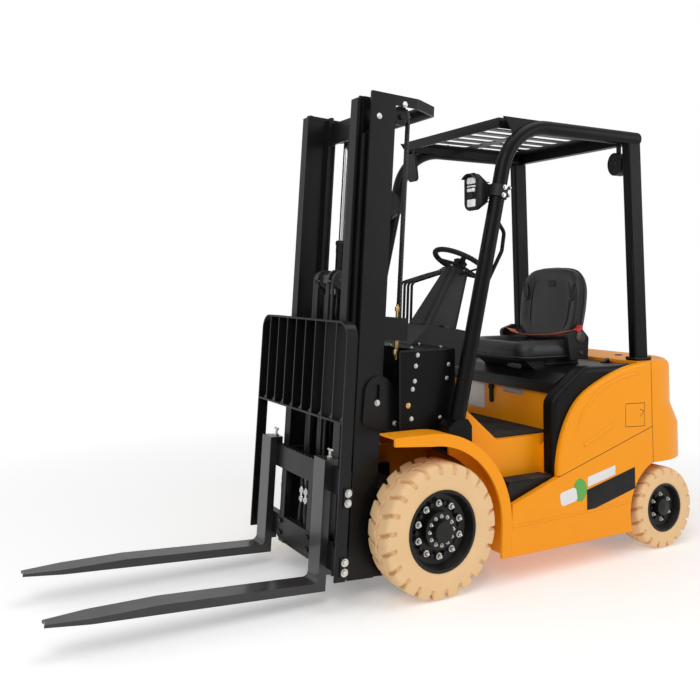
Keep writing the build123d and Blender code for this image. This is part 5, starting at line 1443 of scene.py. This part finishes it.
@dataclass
class BodyTrim:
    """Seams, embossing, blank plates, latches and bolts of the body.

    Attributes:
        wide: Half the body's width over its side covers.
    """

    wide: float = 0.525

    def build(self, p: Paints) -> None:
        """Builds the body's small forms.

        Args:
            p: The finishes.
        """
        self.seams(p)
        self.embossing(p)
        self.plates(p)
        self.cowl(p)
        self.rear(p)

    def seams(self, p: Paints) -> None:
        """Dark joint lines: the diagonal, the upright one and the flap's outline with its notch."""
        lines = []
        for side in SIDES:
            x = side * self.wide
            up = (side, 0, 0)
            flap = [(1091, 733), (1224, 729), (1221, 616), (1088, 622), (1091, 733)]
            pairs = [((648, 431), (1275, 609)), ((1275, 609), (1275, 925)), ((1276, 609), (1277, 431))]
            pairs += list(zip(flap[:-1], flap[1:]))
            pairs += [((1190, 700), (1218, 690)), ((1218, 690), (1192, 664))]
            for a, b in pairs:
                lines.append(strip(side_points([a, b], x), 0.0026, 0.0005, up, 3))
        add("seam_lines", lines, Body.TRUCK, p.gap_dark)

    def embossing(self, p: Paints) -> None:
        """Raised ridges: the long arc under the quarter panel's edge, a short stroke and the sill's fold."""
        ridges = []
        for side in SIDES:
            x, up = side * self.wide, (side, 0, 0)
            arc = [(770, 640), (808, 712), (872, 778), (960, 828), (1070, 862), (1190, 880)]
            ridges.append(strip(side_points(arc, x), 0.016, 0.003, up, 40))
            ridges.append(strip(side_points([(812, 560), (900, 596), (1000, 640)], x), 0.02, 0.0035, up, 16))
            ridges.append(strip(side_points([(372, 248), (700, 252), (1110, 262)], x), 0.012, 0.0022, up, 20))
            lip = [(648, 428), (600, 414), (560, 400), (500, 376), (440, 346), (405, 322)]
            ridges.append(
                strip(side_points(lip, side * (self.wide - 0.014)), 0.028, 0.001, (0, -0.3, 0.95), 30))
        add("ridges", ridges, Body.TRUCK, p.orange_paint, 50)

    def plates(self, p: Paints) -> None:
        """Blank plates: white, black and green on the sides, white and grey in front, grey at the rear."""
        white, black, green, grey = [], [], [], []
        for side in SIDES:
            base = frame_of(axle(side * self.wide, 0, 0), (side, 0, 0), (0, 1, 0))

            def poly(rows: list) -> np.ndarray:
                o = np.array([(y / 1000, z / 1000 * side) for y, z in rows])
                return o if side > 0 else o[::-1]

            upper = poly([(830, 366), (1012, 403), (1012, 447), (830, 411)])
            lower = poly([(823, 250), (1146, 322), (1146, 424), (823, 352)])
            white.append(soft_slab(upper, 0.0012, 0.0006).placed(base))
            black.append(soft_slab(lower, 0.001, 0.0005).placed(base))
            slant = np.array([[0.98, 0.17], [-0.17, 0.98]])
            tag = round_box(0.104, 0.064, 0.016) @ slant + [0.708, 0.335 * side]
            white.append(soft_slab(tag, 0.001, 0.0006).placed(base))
            t = np.linspace(0, TAU, 40, endpoint=False)
            swell = 0.05 * (1 + 0.14 * np.cos(t - 0.9))[:, None]
            leaf = swell * np.column_stack([0.86 * np.cos(t), 1.05 * np.sin(t)])
            green.append(soft_slab(leaf + [0.776, 0.352 * side], 0.0008, 0.0005).placed(base))
        front = frame_of(axle(0, 0.738, 0), (0, -1, 0))
        white.append(soft_slab(round_box(0.172, 0.134, 0.004) + [-0.212, 0.718], 0.001, 0.0006).placed(front))
        grey.append(soft_slab(round_box(0.16, 0.026, 0.003) + [0.108, 0.772], 0.0012, 0.0006).placed(front))
        rear = frame_of(axle(0, 1.6045, 0), (0, 1, 0))
        grey.append(soft_slab(round_box(0.12, 0.05, 0.004) + [0, -0.78], 0.0012, 0.0006).placed(rear))
        kinds = (("white", white, p.plate_white), ("black", black, p.gap_dark),
                 ("green", green, p.plate_green), ("grey", grey, p.plate_grey))
        for name, parts, paint in kinds:
            add("blank_plates_" + name, parts, Body.TRUCK, paint)
        latch = [pad((0.026, 0.094, 0.01), 0.01, 0.004, front @ shift(-0.063, 0.738, 0)),
                 pad((0.036, 0.022, 0.006), 0.013, 0.004, front @ shift(-0.063, 0.774, 0))]
        add("hood_latch", latch, Body.TRUCK, p.rubber_black)

    def cowl(self, p: Paints) -> None:
        """Bolts and plugs on the cowl's sides, and bolts on its top."""
        spots = [
            (-36, 1008), (-46, 961), (130, 960), (-52, 896), (-63, 862), (120, 900), (82, 730), (-70, 735)]
        parts = [
            bolts([axle(side * 0.3877, y / 1000, z / 1000) for y, z in spots], (side, 0, 0), 0.015, 0.006)
            for side in SIDES]
        parts += [
            bolts(
                [axle(side * x, y, 1.0302) for x in (0.12, 0.3) for y in (-0.012, 0.148)], (0, 0, 1), 0.014,
                0.005)
            for side in SIDES]
        add("body_bolts", parts, Body.TRUCK, p.zinc, 30)
        plugs = [
            turned(
                [(0.013, 0), (0.013, 0.003), (0.009, 0.006), (0.004, 0.007)], 24
            ).placed(frame_of(axle(side * 0.3877, -0.086, 0.792), (side, 0, 0)))
            for side in SIDES]
        add("plugs", plugs, Body.TRUCK, p.brass)
        folds = []
        for side in SIDES:
            rim = [axle(side * 0.3878, y, z) for y, z in ((-0.128, 0.672), (-0.128, 1.026), (0.163, 1.026))]
            folds += [strip([a, b], 0.01, 0.003, (side, 0, 0), 3) for a, b in zip(rim[:-1], rim[1:])]
        add("cowl_folds", folds, Body.TRUCK, p.black_paint)

    def rear(self, p: Paints) -> None:
        """The tow pin's handle, air slots and the lifting holes' caps of the counterweight."""
        handle = pipe(
            axles(
                (-0.028, 1.626, 0.616), (-0.028, 1.626, 0.65), (0, 1.626, 0.668), (0.028, 1.626, 0.65),
                (0.028, 1.626, 0.616)),
            0.005, 40)
        add("tow_handle", [handle], Body.TRUCK, p.dark_steel)
        slots = [
            slab(round_box(0.26, 0.01, 0.004, 3), 0.0012).placed(frame_of(axle(0, 1.6042, z), (0, 1, 0)))
            for z in (0.722, 0.745)]
        caps = [
            turned(
                [(0.022, 0), (0.022, 0.002), (0.016, 0.004)], 32
            ).placed(frame_of(axle(side * 0.2, 1.4, 0.93), (0, 0, 1)))
            for side in SIDES]
        add("casting_slots", slots, Body.TRUCK, p.gap_dark)
        add("casting_caps", caps, Body.TRUCK, p.plastic_black)


# Mast and carriage details


@dataclass
class MastTrim:
    """Rods, rollers' pins, hoses, bolts and fittings of the mast."""

    def build(self, p: Paints) -> None:
        """Builds the mast's small parts.

        Args:
            p: The finishes.
        """
        rods = [
            rod_between((side * LIFT_X, LIFT_Y, 0.12), (side * LIFT_X, LIFT_Y, 2.06), 0.0203)
            for side in SIDES]
        add("lift_rods", rods, Body.MIDDLE, p.rod_chrome)
        ram = rod_between((0, FREE_Y, 0.365), (0, FREE_Y, 1.3), 0.0203)
        add("free_lift_rod", [ram], Body.RAM, p.rod_chrome)
        self.pins(p)
        self.pipes(p)
        self.hoses(p)

    def pins(self, p: Paints) -> None:
        """Roller pins on the webs, bracket bolts, beam bolts and nuts at the cylinders' tops."""
        outer = [
            bolts([(side * 0.3302, -0.3015, 2.044), (side * 0.3302, -0.17, 2.118)], (side, 0, 0), 0.02, 0.006)
            for side in SIDES]
        outer += [
            bolts([(side * 0.3422, -0.246, 0.794), (side * 0.3422, -0.15, 0.706)], (side, 0, 0), 0.02, 0.008)
            for side in SIDES]
        outer += [
            bolts([(side * 0.3292, -0.105, z) for z in (0.235, 0.33)], (side, 0, 0), 0.02, 0.008)
            for side in SIDES]
        outer += [
            bolts([(side * x, 0.0485, 2.13)], (0, 1, 0), 0.014, 0.006) for side in SIDES for x in (0.1, 0.2)]
        add("mast_bolts", outer, Body.MAST, p.zinc, 30)
        gland = [
            turned(
                [(0.0215, 0), (0.034, 0), (0.034, 0.014), (0.03, 0.02), (0.0215, 0.021)], 36
            ).placed(shift(side * LIFT_X, LIFT_Y, 1.4995))
            for side in SIDES]
        straps = [
            pad(
                (0.1, 0.044, 0.008), 0.006, 0.002, frame_of(np.array([side * LIFT_X, -0.2165, z]), (0, -1, 0))
            )
            for side in SIDES for z in (0.62, 1.18)]
        add("cylinder_glands", gland + straps, Body.MAST, p.cast_black)
        inner = [
            turned(
                [(0.0215, 0), (0.033, 0), (0.033, 0.012), (0.0215, 0.018)], 36
            ).placed(shift(0, FREE_Y, 1.2355))]
        add("free_gland", inner, Body.INNER, p.cast_black)

    def pipes(self, p: Paints) -> None:
        """Steel pipes up the lift cylinders with brass unions."""
        runs, unions = [], []
        for side in SIDES:
            runs.append(
                pipe(
                    [
                        (side * 0.12, -0.16, 0.115), (side * PIPE_X, PIPE_Y, 0.35),
                        (side * PIPE_X, PIPE_Y, 0.9), (side * PIPE_X, PIPE_Y, 1.36),
                        (side * 0.134, -0.166, 1.44), (side * 0.148, -0.176, 1.462)],
                    0.0055, 60))
            unions += [hex_bolt(0.02, 0.022).placed(shift(side * PIPE_X, PIPE_Y, z)) for z in (0.3, 0.98)]
            unions.append(rod_between((side * 0.296, -0.138, 0.99), (side * 0.296, -0.138, 1.22), 0.006, 12))
            unions += [
                hex_bolt(0.021, 0.02).placed(shift(side * 0.296, -0.138, z)) for z in (1.0, 1.06, 1.19)]
        add("cylinder_pipes", runs, Body.MAST, p.dark_steel, 50)
        add("pipe_unions", unions, Body.MAST, p.brass, 30)

    def hoses(self, p: Paints) -> None:
        """Two hoses beside the carriage chains, over a pulley on the ram."""
        high, reach, x = 1.315, 0.038, 0.092
        for name, y, low, body in (
            ("front", FREE_Y - reach, 0.505, Body.CARRIAGE), ("rear", FREE_Y + reach, 0.35, Body.INNER)):
            grid = [np.array([(side * x, y, z) for z in np.linspace(low, high, 40)]) for side in SIDES]
            shell = joined([carried(circle(0.0075, 12), g, (0, 1, 0)) for g in grid])
            piece = make("hose_" + name, shell.leaned(), None, p.hose_rubber, smooth=60)
            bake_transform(piece)
        wraps, wheels = [], []
        for side in SIDES:
            t = np.linspace(0, math.pi, 24)
            over = np.column_stack(
                [np.full(24, side * x), FREE_Y + reach * np.cos(t), high + reach * np.sin(t)])
            wraps.append(carried(circle(0.0075, 12), over, (1, 0, 0)))
            wheels.append(
                turned(
                    [
                        (0.012, 0), (0.04, 0), (0.04, 0.0018), (0.03, 0.004), (0.03, 0.0135), (0.04, 0.0155),
                        (0.04, 0.0175), (0.012, 0.0175)],
                    40).placed(frame_of(np.array([side * (x - 0.00875), FREE_Y, high]), (side, 0, 0))))
            wheels.append(rod_between((side * 0.066, FREE_Y, high), (side * 0.106, FREE_Y, high), 0.01))
        add("hose_wraps", wraps, Body.RAM, p.hose_rubber, 60)
        add("hose_pulleys", wheels, Body.RAM, p.dark_steel)


@dataclass
class CarriageTrim:
    """Latches, bolts, notches and fittings of the carriage and backrest."""

    def build(self, p: Paints) -> None:
        """Builds the carriage's small parts.

        Args:
            p: The finishes.
        """
        silver, dark = [], []
        for side in SIDES:
            silver += [
                bolts([(side * 0.4492, -0.425, z)], (side, 0, 0), 0.024, 0.01)
                for z in (0.449, 0.41, 0.178, 0.139)]
            silver.append(rod_between((side * 0.28, -0.428, 0.5605), (side * 0.28, -0.428, 0.592), 0.006, 16))
            silver.append(
                rod_between((side * 0.262, -0.428, 0.594), (side * 0.298, -0.428, 0.594), 0.005, 16))
            silver.append(
                turned(
                    [(0.013, 0), (0.013, 0.004), (0.009, 0.008)], 24
                ).placed(shift(side * 0.28, -0.428, 0.5615)))
            dark += [
                pad(
                    (0.04, 0.078, 0.006), 0.0065, 0.002,
                    frame_of(np.array([side * 0.4428, -0.425, z]), (side, 0, 0), (0, 1, 0)))
                for z in (0.43, 0.158)]
            dark += [
                bolts([(side * x, -0.4425, z)], (0, -1, 0), 0.018, 0.007) for x in (0.136, 0.15)
                for z in (0.146, 0.198)]
        add("carriage_bolts", silver, Body.CARRIAGE, p.zinc, 30)
        teeth = [
            slab(round_box(0.012, 0.008, 0.001, 2), 0.034).placed(
                frame_of(np.array([x, -0.4075, 0.5313]), (0, -1, 0)))
            for x in np.linspace(-0.2, 0.2, 13)]
        left = [(0.22, 0), (0.2, -0.016), (0.13, -0.016), (0.12, -0.026)]
        outline = np.array(left + [(-x, z) for x, z in left[::-1]])
        low = [slab(outline, 0.012).placed(frame_of(np.array([0, -0.414, 0.1242]), (0, -1, 0)))]
        add("carriage_notches", teeth + low + dark, Body.CARRIAGE, p.black_paint, 35)
        fittings, hoses = [], []
        for x in (-0.04, 0.005, 0.05):
            fittings.append(rod_between((x, -0.392, 0.3), (x, -0.392, 0.372), 0.0075, 14))
            fittings += [hex_bolt(0.024, 0.018).placed(shift(x, -0.392, z)) for z in (0.31, 0.345)]
            above = [(x, -0.392, 0.372), (x * 1.1, -0.39, 0.41), (x * 1.4 + 0.004, -0.386, 0.45),
                     (x * 1.5, -0.386, 0.486)]
            below = [(x, -0.392, 0.302), (x * 1.1, -0.394, 0.262), (x * 1.3 + 0.01, -0.396, 0.226),
                     (x * 1.6 + 0.01, -0.398, 0.205)]
            hoses += [pipe(run, 0.0085, 30) for run in (above, below)]
        add("hose_fittings", fittings, Body.CARRIAGE, p.zinc, 30)
        add("carriage_hoses", hoses, Body.CARRIAGE, p.hose_rubber, 60)
        self.rest(p)

    def rest(self, p: Paints) -> None:
        """Triangular gussets over the backrest's cross bar and the welds at its ends."""
        rest_bars, pitch, cross_z = 8, 0.886 / 9, 0.725
        corner = np.array([(0.0, 0.0), (0.0, 0.036), (-0.04, 0.0)])
        feet = []
        for k in range(rest_bars + 1):
            place = np.array([min((k - 3.5) * pitch - 0.0035, 0.4355), -0.449, cross_z + 0.0035])
            feet.append(slab(corner, 0.01).placed(frame_of(place, (0, -1, 0))))
        welds = [strip([(side * 0.4351, -0.414, cross_z), (side * 0.4351, -0.46, cross_z)], 0.006, 0.003,
                       (side, 0, 0), 4) for side in SIDES]
        add("backrest_gussets", feet, Body.CARRIAGE, p.black_paint, 35)
        add("backrest_welds", welds, Body.CARRIAGE, p.black_paint, 50)


@dataclass
class GuardTrim:
    """Roof bolts, the mirror under the roof and the welds and bolts at the rear legs' feet."""

    def build(self, p: Paints) -> None:
        """Builds the guard's small parts.

        Args:
            p: The finishes.
        """
        roof = [
            bolts([axle(side * 0.395, y, 2.1002)], (0, 0, 1), 0.018, 0.007) for side in SIDES
            for y in (0.46, 0.7, 0.94, 1.18)]
        add("roof_bolts", roof, Body.TRUCK, p.black_paint, 30)
        arm = pipe(axles((-0.31, 0.418, 2.055), (-0.31, 0.405, 2.02), (-0.31, 0.4, 1.985)), 0.006, 20)
        glass = pad((0.085, 0.15, 0.022, 6), 0.016, 0.007, frame_of(axle(-0.31, 0.392, 1.945), (0, 1, 0.12)))
        add("mirror", [arm, glass], Body.TRUCK, p.plastic_black, 50)
        leg_x, leg_y = 0.44, 1.282
        foot = round_box(0.074, 0.114, 0.012, 4)
        feet = [hoop(foot + [side * leg_x, leg_y + AXLE_Y], 0.941, 0.004) for side in SIDES]
        feet += [bolts([axle(side * (leg_x + dx), leg_y + dy, 0.9408)], (0, 0, 1), 0.014, 0.006)
                 for side in SIDES for dx in (-0.028, 0.028) for dy in (-0.048, 0.048)]
        add("leg_feet", feet, Body.TRUCK, p.black_paint)


def dress_frame(p: Paints) -> None:
    """Gives the frame's own nodes their finishes.

    Args:
        p: The finishes.
    """
    groups = {
        p.orange_paint: ["chassis_frame", "fenders", "front_panel", "quarter_panels"],
        p.orange_casting: ["counterweight"],
        p.black_paint: ["battery_hood", "steps", "roof_panel", "carriage", "load_backrest"],
        # The cowl, side covers and guard take the darker copy of the black paint, whose darker colour is
        # painted shade.
        p.black_satin: ["side_covers", "overhead_guard", "cowl"],
        p.mast_paint: [
            "mast_outer", "mast_middle", "mast_inner", "free_lift_barrel", "lift_barrels", "tilt_barrels",
            "steer_cylinder"],
        p.cast_black: [
            "drive_axle", "steer_axle", "drive_motor", "knuckle_left", "knuckle_right", "steer_link_left",
            "steer_link_right"],
        p.fork_black: ["fork_left", "fork_right"],
        p.plastic_black: [
            "instrument_cover", "steering_column", "control_levers", "lamps", "seat_base", "hip_restraint"],
        p.rubber_black: ["floor_mat", "pedals", "steering_wheel"], p.dark_steel: ["free_lift_ram", "tow_pin"],
        p.rod_chrome: ["tilt_rods", "steer_rod"], p.battery_grey: ["battery"]}
    dress({node: paint for paint, nodes in groups.items() for node in nodes})


@dataclass
class Studio:
    """Floor, light and camera.

    Attributes:
        eye: Camera place.
        yaw: Heading in degrees, counted from +Y towards -X.
        rise: Degrees above level.
        roll: Degrees about the view.
        lens: Focal length for a 36 mm sensor.
        slide: Camera shift across and up.
    """

    eye: tuple = (3.361, -2.0735, 1.333)
    yaw: float = 60.575
    rise: float = 3.465
    roll: float = 0.08
    lens: float = 41.63
    slide: tuple = (-0.0087, -0.1693)

    def build(self) -> None:
        """Builds the whole set."""
        self.camera()
        self.floor()
        self.world()
        self.lamps()
        bpy.context.scene.view_settings.view_transform = "Standard"

    def camera(self) -> None:
        """Sets the camera at the photograph's angle."""
        data = bpy.data.cameras.new("view")
        data.sensor_fit, data.sensor_width, data.lens = "HORIZONTAL", 36.0, self.lens
        data.shift_x, data.shift_y = self.slide
        a, e = math.radians(self.yaw), math.radians(self.rise)
        ahead = Vector((-math.sin(a) * math.cos(e), math.cos(a) * math.cos(e), math.sin(e)))
        turn = ahead.to_track_quat("-Z", "Y").to_matrix() @ Matrix.Rotation(math.radians(self.roll), 3, "Z")
        camera = bpy.data.objects.new("camera", data)
        camera.matrix_world = Matrix.Translation(Vector(self.eye)) @ turn.to_4x4()
        bpy.context.scene.collection.objects.link(camera)
        bpy.context.scene.camera = camera

    def floor(self) -> None:
        """A pale floor whose far part fades into the white backdrop."""
        reach = np.linspace(-14, 14, 3)
        x, y = np.meshgrid(reach, reach, indexing="ij")
        shell = woven(np.stack([x, y, np.zeros_like(x)], axis=-1))
        data = bpy.data.meshes.new("floor")
        data.from_pydata(shell.points.tolist(), [], shell.faces)
        made, w, shader, where = blank_material("floor")
        w.fill(shader, Base_Color=(0.88, 0.88, 0.88, 1), Emission_Color=(1, 1, 1, 1), Emission_Strength=0.24,
               Roughness=0.6, Specular_IOR_Level=0.2)
        far = w.node("ShaderNodeVectorMath", operation="LENGTH")
        w.put(far.inputs[0], where)
        fade = w.ramp(far.outputs["Value"], 1.7, 3.6)
        glow = w.fill(w.node("ShaderNodeEmission"), Strength=1.0)
        blend = w.node("ShaderNodeMixShader")
        for socket, value in zip(blend.inputs, (fade, shader.outputs[0], glow.outputs[0])):
            w.put(socket, value)
        w.put(made.node_tree.nodes["Material Output"].inputs["Surface"], blend.outputs[0])
        data.materials.append(made)
        floor = bpy.data.objects.new("floor", data)
        bpy.context.scene.collection.objects.link(floor)

    def world(self) -> None:
        """White to the camera and to reflections, softer as a light."""
        world = bpy.data.worlds.new("studio")
        world.use_nodes = True
        bpy.context.scene.world = world
        w = Wiring(world.node_tree)
        back = world.node_tree.nodes["Background"]
        rays = w.node("ShaderNodeLightPath")
        seen = w.math("MAXIMUM", rays.outputs["Is Camera Ray"], rays.outputs["Is Transmission Ray"])
        gloss = w.math("MAXIMUM", seen, w.math("MULTIPLY", rays.outputs["Is Glossy Ray"], 0.45))
        w.fill(back, Color=(1, 1, 1, 1), Strength=w.ramp(gloss, 0.0, 1.0, 0.36, 1.0))

    def lamps(self) -> None:
        """Large soft boxes: one over the front left, one ahead, one behind."""
        for name, place, size, power in (
            ("key", (3.2, -3.2, 4.6), 3.2, 118.0), ("ahead", (-2.6, -4.6, 3.2), 3.0, 52.0),
            ("over", (0.6, 0.6, 5.2), 3.6, 80.0), ("rear", (3.4, 3.6, 2.6), 2.6, 42.0)):
            data = bpy.data.lights.new(name, "AREA")
            data.shape, data.size, data.energy = "SQUARE", size, power
            lamp = bpy.data.objects.new(name, data)
            aim = (Vector((0, 0, 0.9)) - Vector(place)).to_track_quat("-Z", "Y")
            lamp.matrix_world = Matrix.Translation(Vector(place)) @ aim.to_matrix().to_4x4()
            bpy.context.scene.collection.objects.link(lamp)


def main() -> None:
    """Builds the studio and every sub-assembly in order, and notes the model's size."""
    logging.basicConfig(level=logging.INFO, format="%(message)s")
    Studio().build()
    paints = Paints()
    Wheels().build(paints)
    dress_frame(paints)
    for assembly in (
        Chains(), Seat(), Lamps(), Controls(), BodyTrim(), MastTrim(), CarriageTrim(), GuardTrim()):
        assembly.build(paints)


if __name__ == "__main__":
    main()
